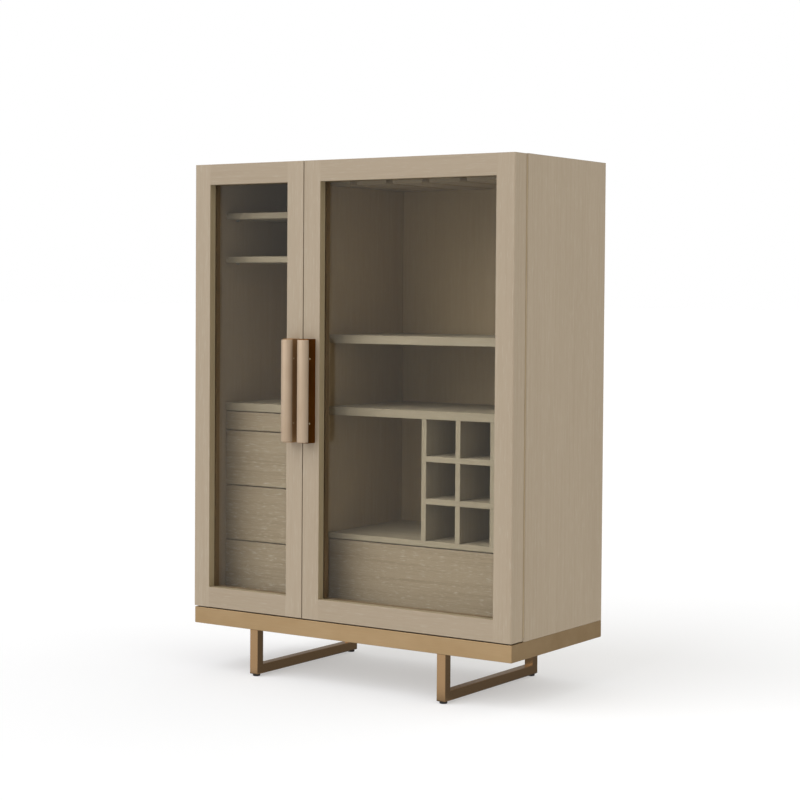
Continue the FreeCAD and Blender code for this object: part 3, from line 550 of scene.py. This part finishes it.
slat_tree, given = new_tree("Stemware slats", {
    "Width": "Float", "Thickness": "Float", "Depth": "Float", "Round": "Float", "Left Wall": "Float",
    "Right Wall": "Float"})
section = add(slat_tree, "GeometryNodeCurvePrimitiveQuadrilateral", {
    "Width": given["Width"], "Height": given["Thickness"]})
rounded = add(slat_tree, "GeometryNodeFilletCurve", {
    "Curve": section.outputs[0], "Radius": given["Round"]}, mode="POLY")
rounded.inputs["Count"].default_value = CORNER_STEPS
back_end = add(slat_tree, "ShaderNodeCombineXYZ", {"Y": given["Depth"]})
path = add(slat_tree, "GeometryNodeCurvePrimitiveLine", {"End": back_end.outputs[0]})
upright_path = add(slat_tree, "GeometryNodeSetCurveNormal", {"Curve": path.outputs[0]}, mode="Z_UP")
slat = add(slat_tree, "GeometryNodeCurveToMesh", {
    "Curve": upright_path.outputs[0], "Profile Curve": rounded.outputs[0], "Fill Caps": True})
row = add(slat_tree, "GeometryNodeInstanceOnPoints", {
    "Points": given["Geometry"], "Instance": slat.outputs[0]})
loose = add(slat_tree, "GeometryNodeRealizeInstances", {0: row.outputs[0]})
spot = add(slat_tree, "GeometryNodeInputPosition")
apart = add(slat_tree, "ShaderNodeSeparateXYZ", {0: spot.outputs[0]})
walled = add(slat_tree, "ShaderNodeClamp", {
    "Value": apart.outputs["X"], "Min": given["Left Wall"], "Max": given["Right Wall"]})
kept = add(slat_tree, "ShaderNodeCombineXYZ", {
    "X": walled.outputs[0], "Y": apart.outputs["Y"], "Z": apart.outputs["Z"]})
trimmed = add(slat_tree, "GeometryNodeSetPosition", {
    "Geometry": loose.outputs[0], "Position": kept.outputs[0]})
close_tree(slat_tree, given, trimmed.outputs[0])
print("slat tree nodes:", len(slat_tree.nodes))

# %% [markdown]
# ## Slats in their places
#
# The first and the last slat are cut by the walls, so the row is laid out from the middle of the bay. Every
# start point is the front end of a slat's centre line.

# %% Slats
SLATS = 6
SLAT_PITCH = 124 * MM
SLOT_WIDTH = 24 * MM
SLAT_ROUND = 4 * MM

low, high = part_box("stemware_slats")
middle = (low.x + high.x) / 2
starts = [(middle + (number - (SLATS - 1) / 2) * SLAT_PITCH, low.y, (low.z + high.z) / 2)
          for number in range(SLATS)]
shape = grow(slat_tree, "stemware_slats.rounded", starts, {
    "Width": SLAT_PITCH - SLOT_WIDTH, "Thickness": high.z - low.z, "Depth": high.y - low.y,
    "Round": SLAT_ROUND, "Left Wall": low.x, "Right Wall": high.x, "Material": OAK[DEEP]})
bmesh.ops.remove_doubles(shape, verts=shape.verts, dist=SAME_PLACE)
bmesh.ops.recalc_face_normals(shape, faces=shape.faces)
slats = show("stemware_slats.rounded", shape, [OAK[DEEP]])
hand_over(slats, "case", "oak", "stemware_slats")
print("slats:", len(starts), "faces:", len(slats.data.polygons))

# %% [markdown]
# ## Birch plywood
#
# The drawer boxes are birch plywood. Its faces are plain wood, and its edges show the plies. A number that
# runs from 0 to 1 through a wall's thickness lets the material draw the plies on the edges only: a sine of
# that number goes up and down once for every two plies.

# %% Plywood finish
PLIES = 9
PLY_SHOWS = (-0.2, -0.6)
PLY_SHARE = 0.8
# Birch plywood, sanded and sealed: creamy and smooth on its faces, striped brown and cream on its edges.
BIRCH = grained_set("birch plywood", (LEVEL, DEEP), "#d2bd97", "#c2a97f", "#dccaa8", 0.4, 0.5)
for finish in BIRCH.values():
    tree = finish.node_tree
    shader = tree.nodes["Principled BSDF"]
    face_colour = shader.inputs["Base Color"].links[0].from_socket
    through = add(tree, "ShaderNodeAttribute", attribute_name="ply").outputs["Fac"]
    turns = add(tree, "ShaderNodeMath", {0: through, 1: PLIES * math.pi}, operation="MULTIPLY")
    wave = add(tree, "ShaderNodeMath", {0: turns.outputs[0]}, operation="SINE")
    ply = add(tree, "ShaderNodeMapRange", {
        0: wave.outputs[0], 1: PLY_SHOWS[0], 2: PLY_SHOWS[1], 3: 0.0, 4: PLY_SHARE})
    striped = add(tree, "ShaderNodeMix", {0: ply.outputs[0], 6: face_colour, 7: tint("#9c7a50")},
                  data_type="RGBA")
    tree.links.new(striped.outputs[2], shader.inputs["Base Color"])
print("birch finishes:", [finish.name for finish in BIRCH.values()])

# %% [markdown]
# ## Comb joints
#
# The walls of a drawer box end in fingers that fit between each other, so the corners show bright and dark
# plies in turn. An outline with fingers is drawn flat and made thick, which keeps every wall one solid.
# Cutting the fingers with booleans would work too, but leaves more faces.

# %% Comb joint helpers
WALL = 12 * MM
FINGER = 16 * MM
FIT = 0.08 * MM
FEWEST_FINGERS = 3


def prism(shape, outline, axis, start, end):
    """A solid from an outline in the two other axes, drawn from start to end along the axis."""
    rings = []
    for level in (start, end):
        points = [list(point) for point in outline]
        for point in points:
            point.insert(axis, level)
        rings.append([shape.verts.new(point) for point in points])
    faces = [shape.faces.new(rings[0]), shape.faces.new(rings[1])]
    for number in range(len(outline)):
        after = (number + 1) % len(outline)
        faces.append(shape.faces.new((rings[0][number], rings[0][after], rings[1][after], rings[1][number])))
    bmesh.ops.recalc_face_normals(shape, faces=faces)
    return faces, rings


def comb_edge(bottom, top, count, outer, inner, starts_out):
    """The points up one end of a wall, whose fingers reach outer or stop at inner in turn."""
    points = []
    for number in range(count):
        is_out = (number % 2 == 0) == starts_out
        reach = outer if is_out else inner
        gap = FIT if is_out else -FIT
        low_end = bottom + (top - bottom) * number / count + (gap if number else 0)
        high_end = bottom + (top - bottom) * (number + 1) / count - (gap if number < count - 1 else 0)
        points += [(reach, low_end), (reach, high_end)]
    return points


print("a finger is about", round(FINGER / MM), "mm high")

# %% [markdown]
# ## Drawers
#
# A drawer has a flecked oak front and a plywood box with a thin bottom between its walls. The number of
# fingers follows from the height of the box, and is odd, so that both ends of a corner look the same. The
# pull-out tray is a very low drawer.

# %% Drawer fronts and boxes
BOTTOM_RISE = 6 * MM
BOTTOM_BOARD = 6 * MM
FRONT_ROUND = 1.5
DRAWERS = ("pull_out_tray", "left_drawer_upper", "left_drawer_middle", "left_drawer_lower", "right_drawer")


def comb_box(name):
    """Four comb-jointed plywood walls round a thin bottom."""
    low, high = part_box(f"{name}_box")
    count = max(FEWEST_FINGERS, 2 * int((high.z - low.z) / FINGER / 2) + 1)
    shape = bmesh.new()
    ply = shape.verts.layers.float.new("ply")

    def wall(outline, axis, start, end, finish):
        faces, rings = prism(shape, outline, axis, start, end)
        for face in faces:
            face.material_index = finish
        for vert in rings[1]:
            vert[ply] = 1.0

    front_end = comb_edge(low.z, high.z, count, low.y, low.y + WALL, True)
    rear_end = comb_edge(low.z, high.z, count, high.y, high.y - WALL, True)
    side = front_end + rear_end[::-1]
    wall(side, 0, low.x, low.x + WALL, 1)
    wall(side, 0, high.x - WALL, high.x, 1)
    left_end = comb_edge(low.z, high.z, count, low.x, low.x + WALL, False)
    right_end = comb_edge(low.z, high.z, count, high.x, high.x - WALL, False)
    end_wall = left_end + right_end[::-1]
    wall(end_wall, 1, low.y, low.y + WALL, 0)
    wall(end_wall, 1, high.y - WALL, high.y, 0)
    bed = [(low.x + WALL, low.y + WALL), (high.x - WALL, low.y + WALL),
           (high.x - WALL, high.y - WALL), (low.x + WALL, high.y - WALL)]
    wall(bed, 2, low.z + BOTTOM_RISE, low.z + BOTTOM_RISE + BOTTOM_BOARD, 0)
    piece = show(f"{name}_box.combed", shape, [BIRCH[LEVEL], BIRCH[DEEP]])
    hand_over(piece, name, "birch", f"{name}_box")
    return count


for drawer in DRAWERS:
    eased_board(f"{drawer}_front", drawer, FLECKED_OAK, radius=FRONT_ROUND)
    print(drawer, "fingers in a corner:", comb_box(drawer))

# %% [markdown]
# ## Door frames
#
# Each door is a thick oak frame with a rebate behind, where the pane lies. Stiles have upright grain and
# rails have level grain, so only the change of grain marks the joint: a frame is sanded flat after gluing,
# and its edges are eased last, so no edge is rounded where two boards meet. The stiles are cut across at
# the rails first, to round the free part of an edge alone. The faces round the opening get the browner oak.

# %% Frame boards
TOUCH = 0.1 * MM
FRAME_ROUND = 1.0
SQUARE_ON = 0.9


def looks_inward(face, sight_low, sight_high):
    """True for a face of a door frame on the edge of its opening. Sights are corners as X and Z."""
    spot = face.calc_center_median()
    on_upright = any(abs(spot.x - x) < TOUCH for x in (sight_low[0], sight_high[0]))
    on_level = any(abs(spot.z - z) < TOUCH for z in (sight_low[1], sight_high[1]))
    if on_upright and abs(face.normal.x) > SQUARE_ON:
        return sight_low[1] < spot.z < sight_high[1]
    return on_level and abs(face.normal.z) > SQUARE_ON


def frame_board(node, door, grain, sight_low, sight_high):
    """A stile or the rails of a door, eased everywhere but at the joints."""
    shape = merged_copy(node)
    for cut in (sight_low[1], sight_high[1]):
        bmesh.ops.bisect_plane(shape, geom=shape.verts[:] + shape.edges[:] + shape.faces[:],
                               dist=SAME_PLACE, plane_co=(0, 0, cut), plane_no=(0, 0, 1))
    free = []
    for edge in long_edges(shape):
        ends = [vert.co for vert in edge.verts]
        in_joint = any(all(abs(end.x - x) < TOUCH for end in ends) for x in (sight_low[0], sight_high[0]))
        height = (ends[0].z + ends[1].z) / 2
        if not in_joint or sight_low[1] < height < sight_high[1]:
            free.append(edge)
    round_edges(shape, free, FRAME_ROUND)
    for face in shape.faces:
        face.material_index = int(looks_inward(face, sight_low, sight_high))
    hand_over(show(f"{node}.eased", shape, [OAK[grain], EDGE_OAK[grain]]), door, "oak", node)


print("frame edges are eased by", FRAME_ROUND, "mm")

# %% [markdown]
# ## Beads, and the doors put together
#
# Thin mitred beads hold a pane in its rebate. A bead is drawn as a flat outline with 45 degree ends, made
# thick, and its long edges at the back are rounded like a board's. The inner corners of the beads are also
# the corners of the opening, so one loop makes a door's frame and its beads.

# %% Frames and beads
BEAD_WIDTH = 12 * MM
BEAD_ROUND = 2.5
SHORTEST_BEAD = 100 * MM


def mitred_beads(door, outer, inner, front, back):
    """Four beads between the outer and the inner corners, which are given as X and Z."""
    shape = bmesh.new()
    for number in range(4):
        after = (number + 1) % 4
        faces, _ = prism(shape, [outer[number], outer[after], inner[after], inner[number]], 1, front, back)
        for face in faces:
            face.material_index = number % 2
    runs = [edge for edge in shape.edges if edge.calc_length() > SHORTEST_BEAD
            and all(vert.co.y > back - MM for vert in edge.verts)]
    round_edges(shape, runs, BEAD_ROUND)
    # The beads' darker colour is painted shade round the pane.
    beads = show(f"{door}_beads.mitred", shape, [SHADED_BEAD_OAK[LEVEL], SHADED_BEAD_OAK[UPRIGHT]])
    hand_over(beads, door, "oak", f"{door}_beads")


for door in ("left_door", "right_door"):
    low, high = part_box(f"{door}_beads")
    inner_low = (low.x + BEAD_WIDTH, low.z + BEAD_WIDTH)
    inner_high = (high.x - BEAD_WIDTH, high.z - BEAD_WIDTH)
    for board, grain in (("hinge_stile", UPRIGHT), ("meeting_stile", UPRIGHT), ("rails", LEVEL)):
        frame_board(f"{door}_{board}", door, grain, inner_low, inner_high)
    corners = [(low.x, low.z), (high.x, low.z), (high.x, high.z), (low.x, high.z)]
    inside = [inner_low, (inner_high[0], inner_low[1]), inner_high, (inner_low[0], inner_high[1])]
    mitred_beads(door, corners, inside, low.y, high.y)
    print(door, "opening in mm:", [round((b - a) / MM) for a, b in zip(inner_low, inner_high)])

# %% [markdown]
# ## Panes
#
# The panes are clear float glass with a faint warm tint, coated so that they reflect less. Clear glass in
# Cycles blocks lamps, so a transparent shader with the same tint takes the shadow rays, and the inside of
# the cabinet is lit through the pane. Float glass is never quite flat, so a long, very low bump bends what
# it reflects. The tint of a pane is shared between its two faces, which is why one takes the square root.

# %% Panes
PANE_TINT = "#fefdf7"
PANE_COATING = "#b4b4b4"
PANE_WAVE = 160 * MM
PANE_WAVE_DEPTH = 0.2 * MM
# Coated float glass: almost invisible from the front, with weak, slightly wavy reflections.
glass, tree, shader = new_finish("coated float glass")
shader.inputs["Base Color"].default_value = tint(PANE_TINT)
shader.inputs["Roughness"].default_value = 0.0
shader.inputs["IOR"].default_value = 1.5
shader.inputs["Specular Tint"].default_value = tint(PANE_COATING)
shader.inputs["Transmission Weight"].default_value = 1.0
wave = add(tree, "ShaderNodeTexNoise", {
    "Vector": add(tree, "ShaderNodeTexCoord").outputs["Object"], "Scale": 1 / PANE_WAVE, "Detail": 1})
bump = add(tree, "ShaderNodeBump", {"Strength": 0.05, "Distance": PANE_WAVE_DEPTH, "Height": wave.outputs[0]})
tree.links.new(bump.outputs[0], shader.inputs["Normal"])
half_tint = [math.sqrt(share) for share in tint(PANE_TINT)]
lit_through = add(tree, "ShaderNodeBsdfTransparent", {"Color": half_tint})
shadow = add(tree, "ShaderNodeLightPath").outputs["Is Shadow Ray"]
pane = add(tree, "ShaderNodeMixShader", {0: shadow, 1: shader.outputs[0], 2: lit_through.outputs[0]})
tree.links.new(pane.outputs[0], tree.nodes["Material Output"].inputs["Surface"])


def dress(node, finish):
    """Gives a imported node, which keeps its shape, a better finish."""
    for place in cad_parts[node].material_slots:
        place.material = finish


for door in ("left_door", "right_door"):
    dress(f"{door}_glass", glass)
print("pane tint in linear light:", [round(share, 3) for share in tint(PANE_TINT)[:3]])

# %% [markdown]
# ## How metals are made
#
# Bronze lacquer, rubbed bronze, brass and zinc are on the cabinet. They differ in colour, in how rough they
# are and in the direction of the brushing, so one function makes them all. Brushing is fine scratches, which
# are noise drawn out along one axis: it moves the colour a little and the roughness more, and it gives a
# very low bump. A real scratch is far finer than a pixel, so it is drawn 1.5 mm wide.

# %% Brushed metal
SCRATCH_STREAK = (1.5, 90)
CLOUD_STREAK = (60, 120)
SCRATCH_SHARE = 0.6
DEEP_SHOWS = (0.55, 1.05)
SCRATCH_DEPTH = 0.05 * MM


def brushed_metal(name, along, pale, deep, rough, metallic, scratch=0.12):
    """A metal or metallic paint with fine lines along one axis."""
    finish, tree, shader = new_finish(name)
    place = add(tree, "ShaderNodeTexCoord").outputs["Object"]
    lines = streaks(tree, place, along, *SCRATCH_STREAK, 3)
    cloud = streaks(tree, place, along, *CLOUD_STREAK, 2)
    both = add(tree, "ShaderNodeMath", {0: lines, 1: SCRATCH_SHARE, 2: cloud}, operation="MULTIPLY_ADD")
    share = add(tree, "ShaderNodeMapRange", {
        0: both.outputs[0], 1: DEEP_SHOWS[0], 2: DEEP_SHOWS[1], 3: 0.0, 4: 1.0})
    colour = add(tree, "ShaderNodeMix", {0: share.outputs[0], 6: tint(pale), 7: tint(deep)},
                 data_type="RGBA")
    tree.links.new(colour.outputs[2], shader.inputs["Base Color"])
    dull = add(tree, "ShaderNodeMapRange", {0: lines, 1: 0.3, 2: 0.7, 3: rough - 0.05, 4: rough + 0.07})
    tree.links.new(dull.outputs[0], shader.inputs["Roughness"])
    bump = add(tree, "ShaderNodeBump", {"Strength": scratch, "Distance": SCRATCH_DEPTH, "Height": lines})
    tree.links.new(bump.outputs[0], shader.inputs["Normal"])
    shader.inputs["Metallic"].default_value = metallic
    return finish


print("scratches are drawn", SCRATCH_STREAK[0], "mm wide")

# %% [markdown]
# ## Metal finishes
#
# A lacquer with metal flakes is part metal and part paint, and tarnish dulls a metal too, so some metallic
# values lie between 0 and 1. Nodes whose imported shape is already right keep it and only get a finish.

# %% Metal finishes
# Bronze lacquer on steel tube: warm tan, satin, a soft glow rather than a mirror.
base_bronze = brushed_metal("bronze-lacquered steel", LEVEL, "#af9571", "#a68b66", 0.4, 0.68, 0.05)
# The legs got a second coat, which was polished: they are bright in front and dark brown at the side.
leg_bronze = brushed_metal("bronze-lacquered steel, two coats", DEEP, "#b99a76", "#b69671", 0.2, 1.0, 0.02)
# Satin bronze of the pulls: rosier and paler, rubbed along its length.
pull_bronze = brushed_metal("satin bronze, rubbed", UPRIGHT, "#b4a08a", "#a9937b", 0.46, 0.3)
# Darkened bronze of the right spine: nearly black brown, with a dull sheen.
dark_bronze = brushed_metal("darkened bronze", UPRIGHT, "#774807", "#693a02", 0.42, 1.0)
# The left spine is the same bronze, drawn as a dull mid brown: painted light that the bright right bar throws
# on it.
bounce_lit_bronze = brushed_metal("darkened bronze, painted bounce light", UPRIGHT, "#a5825a", "#946f48", 0.5, 0.3)
# Turned brass pins, drawn very pale so that they show as small bright glints on the spines: a painted
# highlight.
brass_painted_glint = brushed_metal("turned brass", LEVEL, "#efdab6", "#e2c89c", 0.25, 0.4)
# Hinge strip, lacquered close to the colour of the oak, so the seam behind a door is only a faint line.
hinge_bronze = brushed_metal("lacquered hinge strip", UPRIGHT, "#a8967a", "#9c8a6c", 0.5, 0.2)
# Zinc-plated steel of runners, pins and screws: cool grey with lines along the runner.
zinc = brushed_metal("zinc-plated steel", DEEP, "#b9bcbd", "#a3a6a8", 0.35, 1.0)

METAL_NODES = {
    dark_bronze: ("right_pull_spine",),
    bounce_lit_bronze: ("left_pull_spine",),
    brass_painted_glint: ("left_pull_pins", "right_pull_pins"),
    hinge_bronze: ("case_hinge_leaves", "hinge_pins", "left_door_hinge_leaf", "right_door_hinge_leaf"),
    zinc: ("case_runners", "shelf_pins", "door_magnets", "base_bolts", "left_door_strike",
           "right_door_strike") + tuple(f"{drawer}_runners" for drawer in DRAWERS),
}
for finish, nodes in METAL_NODES.items():
    for node in nodes:
        dress(node, finish)
    print(finish.name, "on", len(nodes), "nodes")

# %% [markdown]
# ## The steel base
#
# The base is welded from tube, mitred at the corners. Tube has slightly round edges, so the outer edges are
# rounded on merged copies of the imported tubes. The tubes are hollow, and their ends meet in a mitre: the
# faces inside it are taken away first, or the rounding would follow them into the corner.

# %% Base and legs
TUBE_ROUND = 1.5
SHORTEST_TUBE_EDGE = 40
SLANTED = 0.6
SMALLEST_MITRE = 20 * MM


def outer_edges(node, shape):
    """The long edges on the outside of a welded frame: both ends of one touch the same side of its box."""
    low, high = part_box(node)
    sides = [(axis, limit) for axis in (0, 1) for limit in (low[axis], high[axis])]
    found = []
    for edge in long_edges(shape, SHORTEST_TUBE_EDGE):
        ends = [vert.co for vert in edge.verts]
        on_side = any(all(abs(end[axis] - limit) < TOUCH for end in ends) for axis, limit in sides)
        if edge.is_convex and on_side:
            found.append(edge)
    return found


def open_mitres(shape):
    """Takes away the faces that close the tubes inside a mitred corner, so that the corner is one skin."""
    slanted = [face for face in shape.faces
               if abs(face.normal.x) > SLANTED and abs(face.normal.y) > SLANTED
               and max(edge.calc_length() for edge in face.edges) > SMALLEST_MITRE]
    bmesh.ops.delete(shape, geom=slanted, context="FACES")
    return len(slanted)


for node, finish in (("base_frame", base_bronze), ("left_leg", leg_bronze), ("right_leg", leg_bronze)):
    shape = merged_copy(node)
    print(node, "faces inside mitres:", open_mitres(shape))
    edges = outer_edges(node, shape)
    print(node, "edges rounded:", len(edges))
    round_edges(shape, edges, TUBE_ROUND)
    put_in_place(node, shape, "case", finish, "bronze_paint")

# %% [markdown]
# ## Half-round pulls
#
# A pull is a half-round bar on a flat dark spine. The bar's section is half a circle, so it is drawn with
# enough short sides to shine smoothly, and its ends are rounded off. It stops a little short of the spine.

# %% Pull bars
PULL_SIDES = 40
END_ROUND = 1.0
END_SETBACK = 2.5 * MM
SMOOTH_BELOW = math.radians(40)
for side in ("left", "right"):
    low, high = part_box(f"{side}_pull_bar")
    radius = (high.x - low.x) / 2
    centre = (low.x + high.x) / 2
    arc = [math.pi * (1 + number / PULL_SIDES) for number in range(PULL_SIDES + 1)]
    outline = [(centre + radius * math.cos(a), high.y + (high.y - low.y) * math.sin(a)) for a in arc]
    shape = bmesh.new()
    faces, _ = prism(shape, outline, 2, low.z + END_SETBACK, high.z - END_SETBACK)
    rims = {edge for face in faces[:2] for edge in face.edges}
    round_edges(shape, list(rims), END_ROUND)
    bar = show(f"{side}_pull_bar.rounded", shape, [pull_bronze])
    bar.data.shade_smooth()
    bar.data.set_sharp_from_angle(angle=SMOOTH_BELOW)
    hand_over(bar, f"{side}_door", "bronze_pull", f"{side}_pull_bar")
    print(side, "pull length in mm:", round((high.z - low.z) / MM))

# %% [markdown]
# ## Glides
#
# Black plastic glides are screwed into the legs. They are moulded, with a fine matt grain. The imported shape
# is kept, so this cell only makes the finish.

# %% Glides
GRIT = 0.8 * MM
GRIT_DEPTH = 0.05 * MM
# Moulded polypropylene: black, dull, with a fine spark-eroded texture.
plastic, tree, shader = new_finish("moulded black polypropylene")
place = add(tree, "ShaderNodeTexCoord").outputs["Object"]
grit = add(tree, "ShaderNodeTexNoise", {"Vector": place, "Scale": 1 / GRIT, "Detail": 2})
colour = add(tree, "ShaderNodeMix", {0: grit.outputs[0], 6: tint("#141414"), 7: tint("#232323")},
             data_type="RGBA")
tree.links.new(colour.outputs[2], shader.inputs["Base Color"])
dull = add(tree, "ShaderNodeMapRange", {0: grit.outputs[0], 3: 0.5, 4: 0.7})
tree.links.new(dull.outputs[0], shader.inputs["Roughness"])
bump = add(tree, "ShaderNodeBump", {"Strength": 0.2, "Distance": GRIT_DEPTH, "Height": grit.outputs[0]})
tree.links.new(bump.outputs[0], shader.inputs["Normal"])
dress("glides", plastic)
print("glides:", plastic.name)

# %% [markdown]
# ## Screws
#
# Screws repeat, so one tree makes them: a low cone for the head, with a cross cut out of it, set on every
# given point and turned outwards. The two bars of the cross overlap, and the boolean is told so.

# %% Screw tree
HEAD_SIDES = 16
CROSS_LENGTH = 1.5
CROSS_WIDTH = 0.35

screw_tree, given = new_tree("Screw heads", {
    "Rim Radius": "Float", "Crown Radius": "Float", "Height": "Float", "Cross": "Vector",
    "Facing": "Rotation"})
head = add(screw_tree, "GeometryNodeMeshCone", {
    "Vertices": HEAD_SIDES, "Radius Bottom": given["Rim Radius"], "Radius Top": given["Crown Radius"],
    "Depth": given["Height"]})
first_bar = add(screw_tree, "GeometryNodeMeshCube", {"Size": given["Cross"]})
quarter = add(screw_tree, "GeometryNodeTransform", {
    "Geometry": first_bar.outputs[0], "Rotation": (0, 0, math.pi / 2)})
cross = add(screw_tree, "GeometryNodeJoinGeometry")
screw_tree.links.new(first_bar.outputs[0], cross.inputs[0])
screw_tree.links.new(quarter.outputs[0], cross.inputs[0])
top = add(screw_tree, "ShaderNodeCombineXYZ", {"Z": given["Height"]})
raised = add(screw_tree, "GeometryNodeTransform", {
    "Geometry": cross.outputs[0], "Translation": top.outputs[0]})
cut = add(screw_tree, "GeometryNodeMeshBoolean", {
    "Mesh 1": head.outputs[0], "Mesh 2": raised.outputs[0], "Self Intersection": True},
    operation="DIFFERENCE", solver="EXACT")
set_on = add(screw_tree, "GeometryNodeInstanceOnPoints", {
    "Points": given["Geometry"], "Instance": cut.outputs[0], "Rotation": given["Facing"]})
close_tree(screw_tree, given, set_on.outputs[0])


def screws(name, body, points, facing, size, slot, finish):
    """Screw heads that stand on the points. A size is the rim's radius, the crown's radius and the height."""
    rim, crown, height = size
    shape = grow(screw_tree, name, points, {
        "Rim Radius": rim, "Crown Radius": crown, "Height": height,
        "Cross": (CROSS_LENGTH * crown, CROSS_WIDTH * crown, height),
        "Facing": Vector((0, 0, 1)).rotation_difference(Vector(facing)).to_euler(), "Material": finish})
    piece = show(name, shape, [finish])
    hand_over(piece, body, slot)
    print(name, len(points), "screws,", len(piece.data.polygons), "faces")


print("screw tree nodes:", len(screw_tree.nodes))

# %% [markdown]
# ## Screws of the hinges
#
# A continuous hinge has a row of screws down each leaf. Its countersunk heads widen outwards, so here the
# crown is wider than the rim. They show only when a door is open.

# %% Hinge screws
HINGE_SCREWS = 9
HINGE_SCREW = (3 * MM, 3.4 * MM, 1.2 * MM)
LEAF_SEAT = 1.3 * MM
LEAF_INSET = 10 * MM

hinge_low, hinge_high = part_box("left_door_hinge_leaf")
pin_low, pin_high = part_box("hinge_pins")
pin_y = (pin_low.y + pin_high.y) / 2
leaf_middle = abs(hinge_high.x) + LEAF_INSET
heights = [hinge_low.z + (hinge_high.z - hinge_low.z) * (number + 0.5) / HINGE_SCREWS
           for number in range(HINGE_SCREWS)]
for side, sign in (("left", -1), ("right", 1)):
    places = [(sign * leaf_middle, pin_y - LEAF_SEAT, z) for z in heights]
    screws(f"{side}_door_hinge_screws", f"{side}_door", places, (0, 1, 0), HINGE_SCREW, "bronze_hinge",
           hinge_bronze)
places = [(sign * leaf_middle, pin_y + LEAF_SEAT, z) for sign in (-1, 1) for z in heights]
screws("case_hinge_screws", "case", places, (0, -1, 0), HINGE_SCREW, "bronze_hinge", hinge_bronze)

# %% [markdown]
# ## Screws of the back
#
# The back board is screwed to the boards that meet it: the divider, the decks and the fixed shelves. So the
# places come from the boxes of these boards. The heads are low cones of zinc-plated steel.

# %% Back screws
BACK_SCREW = (4 * MM, 2.8 * MM, 1.8 * MM)
SHELF_BOARD = 24 * MM
DIVIDER_HEIGHTS = range(300, 1450, 190)
ROW_SHARES = (0.25, 0.5, 0.75)

back_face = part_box("back_panel")[1].y
divider_low, divider_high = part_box("divider_panel")
divider_middle = (divider_low.x + divider_high.x) / 2


def back_row(low, high, level):
    """Three places across a board, at one height on the back."""
    return [(low.x + (high.x - low.x) * share, back_face, level) for share in ROW_SHARES]


back_points = [(divider_middle, back_face, z * MM) for z in DIVIDER_HEIGHTS]
for board in ("left_deck", "right_deck"):
    low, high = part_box(board)
    back_points += back_row(low, high, (low.z + high.z) / 2)
low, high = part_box("right_shelves")
for level in (low.z + SHELF_BOARD / 2, high.z - SHELF_BOARD / 2):
    back_points += back_row(low, high, level)
screws("back_panel_screws", "case", back_points, (0, 1, 0), BACK_SCREW, "zinc_steel", zinc)
